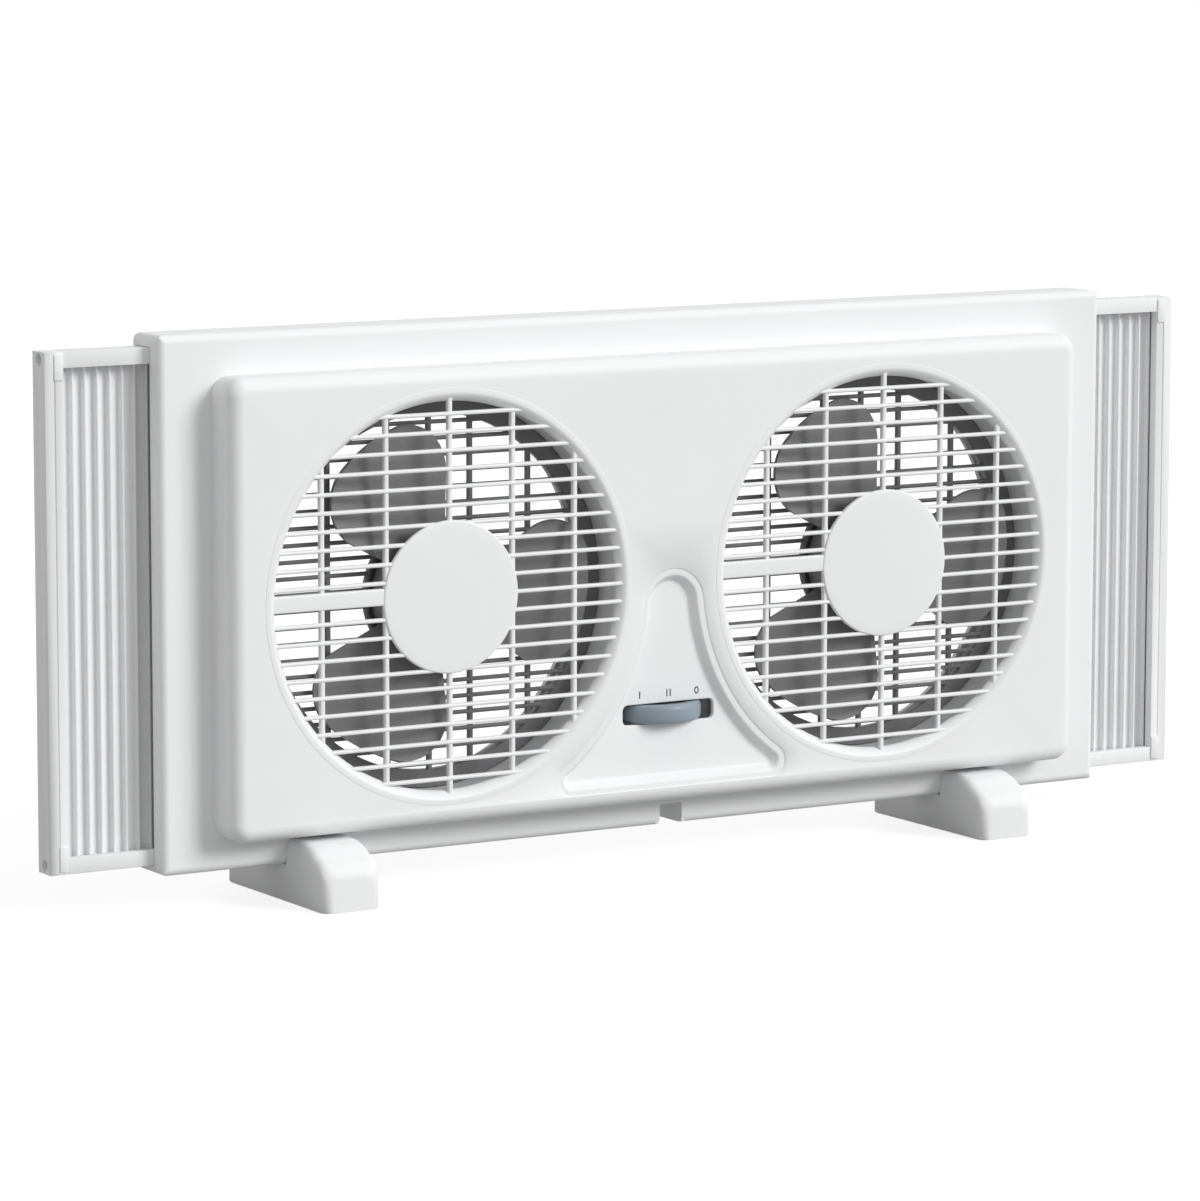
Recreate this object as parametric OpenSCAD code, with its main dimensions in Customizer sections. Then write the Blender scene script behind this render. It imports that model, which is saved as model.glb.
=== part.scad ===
// Twin window fan with sliding side panels. Millimetres, +Z up, front towards -Y.
// The origin is on the floor, under the middle of the housing.

/* [Housing] */
// Width of the outer housing
housing_w = 600; // [580:1:640]
// Height of the outer housing
housing_h = 283; // [270:1:300]
// Depth of the outer housing
housing_d = 28.5; // [28:0.5:34]
// Thickness of the moulded walls
wall = 2.5; // [2.2:0.1:2.8]
// Rounding of the housing's outer edges
housing_r = 4; // [3:0.5:6]
// Height of the housing above the floor
floor_gap = 20; // [16:1:26]
// Width of the notch in the bottom edge
notch_w = 14.3; // [10:0.1:18]
// Height of the notch
notch_h = 11.5; // [8:0.5:13]
// Sideways place of the notch
notch_x = 12; // [-20:1:20]

/* [Front cover] */
// Width of the raised front cover
cover_w = 539; // [533:1:550]
// Height of the housing's edge above the cover
cover_top_gap = 22; // [18:1:28]
// How far the cover stands out from the housing
cover_d = 22; // [21:0.5:24]
// Height of the cover's lower edge above the housing's
cover_lift = 17; // [15:1:19]
// Rounding of the cover's front edges
cover_r = 8; // [5:0.5:10]
// Depth of the sunk switch panel
recess_d = 5.5; // [4:0.5:6]
// Half the width of the sunk panel at its base
recess_half_w = 74; // [60:1:76]
// Height of the sunk panel
recess_h = 118; // [110:1:122]
// Rounding of the sunk panel's corners
recess_r = 8; // [6:0.5:10]
// Space between an opening's rim and the sunk panel
recess_gap = 9.5; // [8.5:0.5:12]

/* [Air openings] */
// Distance from the cover's end to the nearer fan axis
fan_side_gap = 130.9; // [128:0.1:134]
// Space between a clear opening and the cover's upper and lower edges
opening_gap = 18; // [17:0.5:20]
// How much wider an opening is at the cover's face, in radius
lip_flare = 4; // [3:0.5:5]
// Width of the flat rim around an opening
rim_w = 3.5; // [3:0.5:5]
// How far the rim stands out of the cover
rim_h = 0.6; // [0.4:0.1:1]
// How much smaller the rear grille's clear radius is
rear_step = 8; // [4:0.5:10]

/* [Grilles] */
// Height from slat to slat
slat_pitch = 9.75; // [9:0.05:10.3]
// Slats on each side of the middle one
slat_count = 10; // [8:1:10]
// Height of a slat
slat_t = 2.3; // [2:0.1:3.6]
// Front-to-back depth of a slat
slat_depth = 3.5; // [2.5:0.1:3.8]
// Distance between the upright bars
bar_pitch = 38.5; // [34:0.5:42]
// Width of an upright bar
bar_w = 2.9; // [2.5:0.1:4.5]
// Radius of the centre disc
disc_r = 41; // [38:0.5:44]
// Height of the wiring strut
strut_h = 9; // [7:0.5:12]
// Height from slat to slat in the rear grille
rear_slat_pitch = 8.75; // [8.3:0.05:9.5]
// Slats of the rear grille above its middle
rear_slat_count = 10; // [8:1:10]
// How far the rear grille's slats lie above the fan axis
rear_slat_lift = 3.6; // [2:0.1:4.2]
// First and second upright bar of the rear grille, from its middle
rear_bar_near = 25.3; // [20:0.1:30]
// Outer upright bar of the rear grille, from its middle
rear_bar_far = 61.3; // [50:0.1:70]

/* [Fans] */
// Number of blades
blade_count = 3; // [3:1:3]
// Space between the blade tips and the duct
tip_gap = 13.5; // [10:0.5:15]
// Half the angle that a blade covers
blade_half_angle = 34; // [26:1:36]
// Pitch of a blade
blade_pitch = 8.2; // [5:0.1:8.5]
// Thickness of a blade
blade_t = 1.8; // [1.5:0.1:2.4]
// Depth of the bay between the front and rear slats
fan_bay_d = 19.5; // [19:0.1:21]
// Rounding of a blade's corners
blade_corner_r = 24; // [16:1:25]
// Angle of the first blade, from the right
blade_angle = 0; // [-20:1:20]
// Outer radius of the cup hub
hub_r = 36; // [35.5:0.5:38]

/* [Motors] */
// Outer radius of the motor case
motor_r = 30; // [28:0.5:31]
// Depth of the motor case with its cap
motor_d = 15.5; // [15:0.1:16]
// Radius of the motor shaft
shaft_r = 3; // [2:0.5:4]
// Running clearance between a shaft and its bushes
shaft_play = 0.05; // [0.02:0.01:0.1]
// Air gap between rotor and stator
rotor_gap = 0.6; // [0.4:0.1:1]

/* [Switch] */
// Radius of the thumbwheel
wheel_r = 26.5; // [24:0.5:28]
// Thickness of the thumbwheel
wheel_t = 10; // [8:0.5:11]
// How far the wheel stands out of the sunk panel
wheel_out = 10; // [8:0.5:12]
// Play above and below the wheel in its slot
wheel_play = 0.5; // [0.4:0.1:1]
// Width of the slot
slot_w = 58; // [54:1:62]
// Height of the wheel's middle above the housing's lower edge
wheel_lift = 65.5; // [62:0.5:70]
// Turn of the wheel from one switch position to the next
wheel_step = 39; // [30:1:40]

/* [Side panels] */
// How far a side panel stands out of the housing
panel_out = 59.5; // [52:0.5:66]
// Height of a side panel above the housing's lower edge
panel_low_gap = 4.85; // [4.5:0.05:6]
// Height of the housing's upper edge above a side panel
panel_top_gap = 6.65; // [6:0.05:8]
// Depth of a side panel
panel_d = 14.4; // [13:0.1:14.8]
// Space between the housing's back face and the panel
panel_back = 3.8; // [3.6:0.1:4]
// Width of the end post
post_w = 10.5; // [9:0.5:13]
// Width of the corner tabs of an end post
tab_w = 4.9; // [4:0.1:6]
// Height of the corner tabs
tab_h = 13; // [10:0.5:16]
// How far a corner tab stands out of its post
tab_t = 0.7; // [0.4:0.1:1]
// Height of a rail
rail_h = 8.3; // [7.5:0.1:9]
// Length of a rail inside the housing
rail_in = 112; // [90:1:120]
// Width of the ribbed panel inside the housing
web_in = 24; // [20:1:30]
// Thickness of the ribbed panel between its ribs
web_t = 2; // [1.6:0.1:2.4]
// Distance between the ribs
rib_pitch = 7.1; // [6:0.1:9]
// Width of a rib
rib_w = 1.7; // [1.4:0.1:2.6]
// Height of a rib above the panel
rib_h = 3.2; // [2.4:0.1:4.5]
// Play of the sliding panel in the housing
slide_play = 0.3; // [0.2:0.05:0.4]

/* [Feet] */
// Distance from the housing's end to the middle of a foot
foot_end_gap = 90; // [75:1:110]
// Width of a foot
foot_w = 35; // [30:1:40]
// How far a foot reaches in front of the housing
foot_reach = 41.5; // [36:0.5:50]
// Height of a foot's end face
foot_nose_h = 22.5; // [18:0.5:26]
// Space between a foot and the cover above it
foot_top_gap = 1; // [0.5:0.1:2]
// Rounding of a foot's corners
foot_r = 5; // [3:0.5:7]

/* [Screws] */
// Shank radius of the screws
screw_r = 1.4; // [1.2:0.1:1.5]
// Head radius of the screws
screw_head_r = 2.9; // [2.6:0.1:3.2]
// Head height of the screws
screw_head_h = 1.8; // [1.4:0.1:2.2]
// Wall of a screw boss
boss_wall = 2.4; // [2:0.1:2.8]

/* [Hidden] */
$fn = 64;

white = [0.93, 0.93, 0.93];
shade_white = [0.84, 0.85, 0.86];
fan_grey = [0.66, 0.67, 0.68];
wheel_grey = [0.53, 0.57, 0.61];
metal = [0.72, 0.73, 0.75];
dark = [0.16, 0.16, 0.17];
copper = [0.72, 0.43, 0.2];

// Overlap that joins the solids of one piece, and the small gap of a seated piece
join = 0.5;
seat = 0.3;
screw_play = 0.1;

// Housing planes
front_y = -housing_d / 2;
back_y = housing_d / 2;
plate_y = front_y + wall;
back_plate_y = back_y - wall;
base_z = floor_gap;
top_z = base_z + housing_h;
half_w = housing_w / 2;

// Cover planes
cover_h = housing_h - cover_lift - cover_top_gap;
cover_y = front_y - cover_d;
cover_back_y = cover_y + wall;
cover_z = base_z + cover_lift;
recess_y = cover_y + recess_d;
tray_y = recess_y + wall;
recess_z = cover_z + 9;

// Fan axes, and the planes behind each other along them
fan_x = cover_w / 2 - fan_side_gap;
fan_z = cover_z + cover_h / 2;
opening_r = cover_h / 2 - opening_gap;
face_r = opening_r + lip_flare;
ring_r = face_r + rim_w;
spigot_r = ring_r - 1.8;
cover_hole_r = spigot_r + seat;
slat_y = cover_y + 1.2;
slat_back_y = slat_y + slat_depth;
spigot_back_y = slat_back_y + 1.5;
duct_y = spigot_back_y + seat;
duct_in_r = opening_r + 2;
duct_out_r = duct_in_r + wall;
blade_tip_r = duct_in_r - tip_gap;
disc_y = cover_y + seat;
disc_t = wall;
strut_t = 4;
rear_slat_y = slat_back_y + fan_bay_d;
rear_slat_depth = 3;
duct_back_y = rear_slat_y + rear_slat_depth + 3;
rear_ring_r = duct_in_r - seat;
rear_opening_r = opening_r - rear_step;
dish_r = hub_r + 3.5;
dish_y = rear_slat_y + 3.6;
dish_t = 1.8;

// Motor planes
motor_skin = 1.4;
motor_boss_h = 1.4;
motor_y = disc_y + disc_t + motor_boss_h;
cap_t = 1.8;
motor_back_y = motor_y + motor_d;
cap_y = motor_back_y - cap_t;
bush_r = shaft_r + 3;
bush_len = 3.8;
rotor_end_gap = 1;
stator_y = motor_y + bush_len + rotor_end_gap;
stator_d = motor_d - 2 * (bush_len + rotor_end_gap);
stator_r = motor_r - motor_skin - seat;
rotor_r = 15.4;
motor_screw_ring = 24.5;
fan_y = slat_back_y + fan_bay_d / 2 + 0.25;
cup_in_r = motor_r + 3;
cup_y = slat_back_y + 3;
cup_floor_t = 2.4;
cup_back_y = rear_slat_y + 0.9;
hub_boss_r = shaft_r + 3;
hub_boss_y = motor_back_y + 0.6;
nut_t = 1.6;
shaft_back_y = cup_back_y + nut_t + 0.4;

// Switch planes
wheel_z = base_z + wheel_lift;
wheel_y = recess_y + wheel_r - wheel_out;
wheel_flat = 8;
slot_h = wheel_t + 2 * wheel_play;
spindle_r = 2.5;
switch_body_w = 24;
switch_body_d = 18;
switch_body_h = 16;
switch_body_z = wheel_z + wheel_t / 2 + 1.2;
switch_ear_w = 46;
switch_ear_h = 10;
switch_ear_t = 2;
switch_ear_y = wheel_y - switch_body_d / 2 + 4;
switch_screw_x = 18.5;
switch_screw_z = switch_body_z + switch_body_h / 2;
pivot_shelf_z = wheel_z - wheel_t / 2 - 5;
pivot_shelf_t = 3;
window_half_w = 37;
window_low_z = pivot_shelf_z - 8;
window_high_z = switch_body_z + switch_body_h + 8;

// Side panel planes, for the right-hand panel
panel_back_y = back_y - panel_back;
panel_y = panel_back_y - panel_d;
panel_z = base_z + panel_low_gap;
panel_top_z = top_z - panel_top_gap;
panel_end_x = half_w + panel_out;
post_x = panel_end_x - post_w;
rail_x = half_w - rail_in;
web_x = half_w - web_in;
web_y = panel_back_y - 3.4 - web_t;
web_sink = 2.4;
web_z = panel_z + rail_h - web_sink;
web_top_z = panel_top_z - rail_h + web_sink;
rib_y = web_y - rib_h;
rib_total = floor((post_x - web_x - rib_w) / rib_pitch) + 1;
tab_edge = 1.5;
panel_in_travel = panel_out - post_w;

// Screw places: [x, z]
boss_inset = 8;
mid_boss_x = 22;
mid_boss_drop = 31;
cover_boss_x = cover_w / 2 - wall - boss_inset - 1;
cover_boss_z = [cover_z + wall + boss_inset, cover_z + cover_h - wall - boss_inset];
cover_points = [[-cover_boss_x, cover_boss_z[0]], [cover_boss_x, cover_boss_z[0]],
                [-cover_boss_x, cover_boss_z[1]], [cover_boss_x, cover_boss_z[1]],
                for (x = [-mid_boss_x, mid_boss_x]) [x, cover_z + cover_h - mid_boss_drop]];
back_boss_x = rail_x - panel_in_travel - boss_inset - 4;
back_boss_z = [base_z + wall + boss_inset - 1, top_z - wall - boss_inset + 1];
back_points = [for (z = back_boss_z) for (x = [-back_boss_x, -mid_boss_x, back_boss_x]) [x, z]];
screw_grip = 9;
switch_screw_grip = 8;
motor_screw_grip = 2.6;
post_head_x = post_x + 3;
post_screw_grip = 10;
grommet_x = -60;
grommet_lift = 26;
grommet_z = base_z + grommet_lift;
grommet_r = 5;
lead_r = 1;
lead_y = cover_back_y + 1.4;
lead_ring = ring_r + 2.5;
lead_z = fan_z + 2.5;
lead_exit_z = switch_body_z + switch_body_h - lead_r - 2 * seat;
lead_drop_angle = asin((fan_z - lead_exit_z) / lead_ring);

// ---- Shared shapes ----

// Cylinder along +Y from the plane y
module rod_y(r, y, len) {
    translate([0, y, 0]) rotate([-90, 0, 0]) cylinder(r = r, h = len);
}

// Ring along +Y from the plane y
module ring_y(outer, inner, y, len) {
    difference() {
        rod_y(outer, y, len);
        rod_y(inner, y - 1, len + 2);
    }
}

// Rectangle with its corner at the origin and rounded corners, only the lower two if open is true
module round_rect(w, h, r, open) {
    top_r = open ? 0 : r;
    translate([r, 0]) square([w - 2 * r, h]);
    translate([0, r]) square([w, h - r - top_r]);
    for (x = [r, w - r]) for (y = open ? [r] : [r, h - r]) translate([x, y]) circle(r = r);
}

// Side outline of a slab, first axis y and second axis z, rounded at the front
module soft_side(depth, h, r) {
    translate([r, 0]) square([depth - r, h]);
    translate([0, r]) square([depth, h - 2 * r]);
    for (z = [r, h - r]) translate([r, z]) circle(r = r);
}

// Slab standing on z, with rounded front edges and corners
module soft_box(w, h, y, depth, r) {
    intersection() {
        translate([-w / 2, 0, 0]) raise_y(y, depth) round_rect(w, h, r, false);
        translate([-w / 2, y, -1]) linear_extrude(h + 2) round_rect(w, depth, r, true);
        translate([-w / 2 - 1, y, 0]) rotate([90, 0, 90]) linear_extrude(w + 2)
            soft_side(depth, h, r);
    }
}

// Box given by its limits
module block(x, y, z) {
    translate([x[0], y[0], z[0]]) cube([x[1] - x[0], y[1] - y[0], z[1] - z[0]]);
}

// Flat shape drawn in x and z, raised from the plane y
module raise_y(y, depth) {
    translate([0, y + depth, 0]) rotate([90, 0, 0]) linear_extrude(depth) children();
}

module at_fan(side) {
    translate([side * fan_x, 0, fan_z]) children();
}

// Screw along +Y with its head at the back
module screw(head_y, len) {
    rod_y(screw_head_r, head_y, screw_head_h);
    rod_y(screw_r, head_y - len, len + join);
}

module boss(y, len) {
    rod_y(screw_r + screw_play + boss_wall, y, len);
}

// ---- Housing ----

module recess_outline(grow) {
    offset(r = recess_r + grow) offset(delta = -recess_r) difference() {
        translate([-recess_half_w, recess_z]) square([2 * recess_half_w, recess_h]);
        for (s = [-1, 1]) translate([s * fan_x, fan_z]) circle(r = ring_r + recess_gap, $fn = 96);
    }
}

module slot_outline() {
    r = 3;
    translate([-slot_w / 2 + r, wheel_z - slot_h / 2]) square([slot_w - 2 * r, slot_h]);
    translate([-slot_w / 2, wheel_z - slot_h / 2 + r]) square([slot_w, slot_h - 2 * r]);
    for (x = [-1, 1]) for (z = [-1, 1])
        translate([x * (slot_w / 2 - r), wheel_z + z * (slot_h / 2 - r)]) circle(r = r);
}

module notch_cut(grow) {
    block([notch_x - notch_w / 2 - grow, notch_x + notch_w / 2 + grow], [front_y - 1, back_y + 1],
          [base_z - 1, base_z + notch_h + grow]);
}

// Guides of one side panel: a ledge under or over each rail, and a rib behind the wall
module panel_guides() {
    end_x = half_w - wall + join;
    low_top = panel_z - slide_play;
    high_low = panel_top_z + slide_play;
    block([rail_x - panel_in_travel, end_x], [panel_y + 1, panel_back_y - 1],
          [base_z + wall - join, low_top]);
    block([rail_x - panel_in_travel, end_x], [panel_y + 1, panel_back_y - 1],
          [high_low, top_z - wall + join]);
    for (z = [panel_z + rail_h + slide_play, panel_top_z - rail_h - slide_play - 3])
        block([web_x - 15, end_x], [plate_y - join, rib_y - 1], [z, z + 3]);
}

module main_frame() {
    color(white) difference() {
        union() {
            difference() {
                translate([0, 0, base_z]) soft_box(housing_w, housing_h, front_y, housing_d, housing_r);
                block([-half_w + wall, half_w - wall], [plate_y, back_y + 1],
                      [base_z + wall, top_z - wall]);
            }
            for (s = [-1, 1]) at_fan(s) rod_y(duct_out_r, duct_y, duct_back_y - duct_y);
            for (p = back_points) translate([p[0], 0, p[1]])
                boss(plate_y - join, back_plate_y - plate_y + join);
            intersection() {
                notch_cut(wall);
                block([-half_w, half_w], [front_y + join, back_plate_y], [base_z + 1, top_z]);
            }
            panel_guides();
            mirror([1, 0, 0]) panel_guides();
        }
        for (s = [-1, 1]) at_fan(s) rod_y(duct_in_r, duct_y - 1, duct_back_y - duct_y + 2);
        for (p = back_points) translate([p[0], 0, p[1]])
            rod_y(screw_r + screw_play, back_plate_y - screw_grip - 1, screw_grip + 2);
        for (p = cover_points) translate([p[0], 0, p[1]]) rod_y(screw_r + 0.3, front_y - 1, wall + 2);
        block([-window_half_w, window_half_w], [front_y - 1, plate_y + 1], [window_low_z, window_high_z]);
        for (s = [0, 1]) mirror([s, 0, 0])
            block([half_w - wall - 1, half_w + 1], [panel_y - slide_play, panel_back_y + slide_play],
                  [panel_z - slide_play, panel_top_z + slide_play]);
        notch_cut(0);
    }
}

module front_cover() {
    inner_w = cover_w - 2 * wall;
    inner_h = cover_h - 2 * wall;
    color(white) difference() {
        union() {
            difference() {
                translate([0, 0, cover_z]) soft_box(cover_w, cover_h, cover_y, cover_d, cover_r);
                translate([0, 0, cover_z + wall])
                    soft_box(inner_w, inner_h, cover_back_y, cover_d, cover_r - wall);
            }
            raise_y(cover_back_y - join, tray_y - cover_back_y + join) recess_outline(wall);
            for (p = cover_points) translate([p[0], 0, p[1]])
                boss(cover_back_y - join, front_y - cover_back_y + join);
            for (x = [-switch_screw_x, switch_screw_x]) translate([x, 0, switch_screw_z])
                boss(cover_back_y - join, switch_ear_y - cover_back_y + join);
            block([-7, 7], [tray_y - join, wheel_y + 6], [pivot_shelf_z, pivot_shelf_z + pivot_shelf_t]);
        }
        for (s = [-1, 1]) at_fan(s) rod_y(cover_hole_r, cover_y - 1, wall + 3);
        raise_y(cover_y - 1, recess_d + 1) recess_outline(0);
        raise_y(recess_y - 1, wall + 2) slot_outline();
        for (p = cover_points) translate([p[0], 0, p[1]])
            rod_y(screw_r + screw_play, front_y - screw_grip - 1, screw_grip + 2);
        for (x = [-switch_screw_x, switch_screw_x]) translate([x, 0, switch_screw_z])
            rod_y(screw_r + screw_play, switch_ear_y - switch_screw_grip, switch_screw_grip + 1);
        translate([0, wheel_y, pivot_shelf_z - 1])
            cylinder(r = spindle_r + shaft_play, h = pivot_shelf_t + 2);
    }
}

module back_cover() {
    side = wall + seat;
    color(white) difference() {
        union() {
            block([-half_w + side, half_w - side], [back_plate_y, back_y], [base_z + side, top_z - side]);
            for (s = [-1, 1]) at_fan(s) rod_y(opening_r + 4, back_plate_y - 0.7, wall);
        }
        for (s = [-1, 1]) at_fan(s) rod_y(opening_r, back_plate_y - 3, wall + 6);
        for (p = back_points) translate([p[0], 0, p[1]]) rod_y(screw_r + 0.3, back_plate_y - 1, wall + 2);
        translate([grommet_x, 0, grommet_z]) rod_y(grommet_r + 0.1, back_plate_y - 1, wall + 2);
        notch_cut(wall + seat);
    }
}

// ---- Grilles ----

// Slats at the given heights and upright bars inside a circle
module bars(y, depth, inside_r, uprights, heights) {
    intersection() {
        rod_y(inside_r, y, depth);
        union() {
            for (z = heights)
                block([-inside_r, inside_r], [y - 1, y + depth + 1], [z - slat_t / 2, z + slat_t / 2]);
            for (x = uprights)
                block([x - bar_w / 2, x + bar_w / 2], [y - 1, y + depth + 1], [-inside_r, inside_r]);
        }
    }
}

// Ring of a front grille: a rim that rests on the cover, and a wall that narrows towards the back
module lip() {
    front = -cover_y;
    back = -spigot_back_y;
    rotate([90, 0, 0]) rotate_extrude($fn = 96)
        polygon([[face_r, front], [face_r + rim_h, front + rim_h], [ring_r - rim_h, front + rim_h],
                 [ring_r, front], [spigot_r, front], [spigot_r, back], [opening_r, back],
                 [opening_r, back + 1]]);
}

module front_grille(side) {
    strut_low = lead_z - fan_z - strut_h / 2;
    at_fan(side) color(shade_white) difference() {
        union() {
            difference() {
                bars(slat_y, slat_depth, face_r, [-2, -1, 0, 1, 2] * bar_pitch,
                     [for (k = [-slat_count:slat_count]) k * slat_pitch]);
                rod_y(disc_r - 1.5, disc_y + disc_t - join, slat_depth + join);
            }
            lip();
            rod_y(disc_r, disc_y, disc_t);
            motor_screw_places() boss(disc_y + disc_t - join, motor_boss_h + join);
            block([-face_r, -disc_r + 2], [slat_y, slat_y + strut_t],
                  [strut_low, strut_low + strut_h]);
        }
        motor_screw_places() rod_y(screw_r + screw_play, motor_y - 3, 4);
        block([-ring_r, -motor_r + 1], [lead_y - lead_r - 0.2, spigot_back_y + 1],
              [lead_z - fan_z - lead_r - 0.2, lead_z - fan_z + lead_r + 0.2]);
    }
}

module rear_grille(side) {
    rear_bars = [-rear_bar_far, -rear_bar_near, 0, rear_bar_near, rear_bar_far];
    heights = [for (k = [-rear_slat_count - 1:rear_slat_count])
        k * rear_slat_pitch + rear_slat_lift];
    at_fan(side) color(shade_white) difference() {
        union() {
            bars(rear_slat_y, rear_slat_depth, rear_opening_r + join, rear_bars, heights);
            ring_y(rear_ring_r, rear_opening_r, rear_slat_y, duct_back_y - rear_slat_y);
            rod_y(dish_r, rear_slat_y, dish_y + dish_t - rear_slat_y);
        }
        rod_y(dish_r - 1.8, rear_slat_y - 1, dish_y - rear_slat_y + 1);
    }
}

// ---- Motors and fans ----

module motor_screw_places() {
    for (a = [90, 210, 330]) rotate([0, a, 0]) translate([motor_screw_ring, 0, 0]) children();
}

module motor_case(side) {
    at_fan(side) color(metal) difference() {
        union() {
            difference() {
                rod_y(motor_r, motor_y, cap_y - motor_y);
                rod_y(motor_r - motor_skin, motor_y + motor_skin, motor_d);
            }
            rod_y(bush_r + 1.8, motor_y, bush_len);
            ring_y(stator_r, stator_r - 3, motor_y + 1, stator_y - motor_y - 1);
        }
        rod_y(bush_r + shaft_play, motor_y - 1, motor_d);
        motor_screw_places() rod_y(screw_r + 0.3, motor_y - 1, motor_d);
        translate([-motor_r, 0, lead_z - fan_z]) block([-3, 4],
            [motor_y - 1, lead_y + lead_r + 0.3], [-lead_r - 0.3, lead_r + 0.3]);
    }
}

module motor_cap(side) {
    at_fan(side) color(metal) difference() {
        union() {
            rod_y(motor_r, cap_y, cap_t);
            rod_y(bush_r + 1.8, motor_back_y - bush_len, bush_len);
        }
        rod_y(bush_r + shaft_play, motor_back_y - bush_len - 1, bush_len + 2);
        motor_screw_places() rod_y(screw_r + 0.3, cap_y - 1, cap_t + 2);
    }
}

module stator(side) {
    at_fan(side) {
        color(dark) difference() {
            rod_y(stator_r, stator_y, stator_d);
            rod_y(rotor_r + rotor_gap, stator_y - 1, stator_d + 2);
            motor_screw_places() rod_y(screw_r + 0.6, stator_y - 1, stator_d + 2);
        }
    }
}

module rotor(side) {
    at_fan(side) color(metal) ring_y(rotor_r, shaft_r + shaft_play / 2, stator_y, stator_d);
}

module motor_shaft(side) {
    at_fan(side) color(metal) rod_y(shaft_r, motor_y + 0.4, shaft_back_y - motor_y - 0.4);
}

module motor_bushes(side) {
    at_fan(side) color(copper) for (y = [motor_y, motor_back_y - bush_len])
        ring_y(bush_r, shaft_r + shaft_play, y, bush_len);
}

module blade_outline() {
    offset(r = blade_corner_r) offset(delta = -blade_corner_r) intersection() {
        difference() {
            circle(r = blade_tip_r, $fn = 96);
            circle(r = cup_in_r - 10, $fn = 64);
        }
        polygon([[0, 0], [2 * blade_tip_r, -2 * blade_tip_r * tan(blade_half_angle)],
                 [2 * blade_tip_r, 2 * blade_tip_r * tan(blade_half_angle)]]);
    }
}

module fan(side) {
    at_fan(side) color(fan_grey) difference() {
        union() {
            rod_y(hub_r, cup_y, cup_back_y - cup_y);
            rod_y(hub_boss_r, hub_boss_y, cup_back_y - hub_boss_y);
            intersection() {
                rod_y(blade_tip_r, slat_back_y, fan_bay_d);
                for (k = [0:blade_count - 1])
                    rotate([0, -blade_angle - k * 360 / blade_count, 0]) rotate([blade_pitch, 0, 0])
                        raise_y(fan_y - blade_t / 2, blade_t) blade_outline();
            }
        }
        difference() {
            rod_y(cup_in_r, cup_y - 12, cup_back_y - cup_floor_t - cup_y + 12);
            rod_y(hub_boss_r, hub_boss_y, cup_back_y - hub_boss_y);
        }
        rod_y(shaft_r + shaft_play / 2, cup_y - 12, cup_back_y - cup_y + 14);
    }
}

module fan_nut(side) {
    at_fan(side) color(metal) difference() {
        translate([0, cup_back_y, 0]) rotate([-90, 0, 0]) cylinder(r = shaft_r + 2.4, h = nut_t, $fn = 6);
        rod_y(shaft_r + shaft_play / 2, cup_back_y - 1, nut_t + 2);
    }
}

// Bend of a lead, a little thicker than the lead itself
module lead_bend(x, y, z) {
    translate([x, y, z]) sphere(r = lead_r + 0.2, $fn = 24);
}

// Lead from the motor along the strut, around the ring and behind the sunk panel to the switch
module motor_leads(side) {
    start_angle = 180 - asin((lead_z - fan_z) / lead_ring);
    end_angle = side < 0 ? 360 - lead_drop_angle : 180 + lead_drop_angle;
    start_x = side * fan_x + lead_ring * cos(start_angle);
    end_x = side * (fan_x - lead_ring * cos(lead_drop_angle));
    turn_y = switch_ear_y + switch_ear_t + lead_r + 0.5;
    color(dark) {
        lead_bend(start_x, lead_y, lead_z);
        translate([start_x, lead_y, lead_z]) rotate([0, 90, 0])
            cylinder(r = lead_r, h = side * fan_x - motor_r + 2 - start_x, $fn = 16);
        translate([side * fan_x, lead_y, fan_z]) rotate([90, 0, 0]) rotate([0, 0, start_angle])
            rotate_extrude(angle = end_angle - start_angle, $fn = 96) translate([lead_ring, 0])
                circle(r = lead_r, $fn = 16);
        lead_bend(end_x, lead_y, lead_exit_z);
        translate([end_x, lead_y + seat, lead_exit_z]) rotate([-90, 0, 0])
            cylinder(r = lead_r, h = turn_y - lead_y - 2 * seat, $fn = 16);
        lead_bend(end_x, turn_y, lead_exit_z);
        translate([side < 0 ? end_x + seat : switch_body_w / 2, turn_y, lead_exit_z])
            rotate([0, 90, 0]) cylinder(r = lead_r, h = abs(end_x) - seat - switch_body_w / 2, $fn = 16);
    }
}

// ---- Switch ----

module switch_wheel() {
    chamfer = 1.2;
    color(wheel_grey) translate([0, wheel_y, wheel_z]) difference() {
        intersection() {
            rotate_extrude($fn = 96) polygon([[0, -wheel_t / 2], [wheel_r - chamfer, -wheel_t / 2],
                [wheel_r, -wheel_t / 2 + chamfer], [wheel_r, wheel_t / 2 - chamfer],
                [wheel_r - chamfer, wheel_t / 2], [0, wheel_t / 2]]);
            block([-wheel_r, wheel_r], [-wheel_r, wheel_flat], [-wheel_t, wheel_t]);
        }
        translate([0, 0, -wheel_t]) cylinder(r = spindle_r + shaft_play / 2, h = 2 * wheel_t);
    }
}

module switch_spindle() {
    color(metal) translate([0, wheel_y, pivot_shelf_z])
        cylinder(r = spindle_r, h = switch_body_z + 12 - pivot_shelf_z);
}

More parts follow.
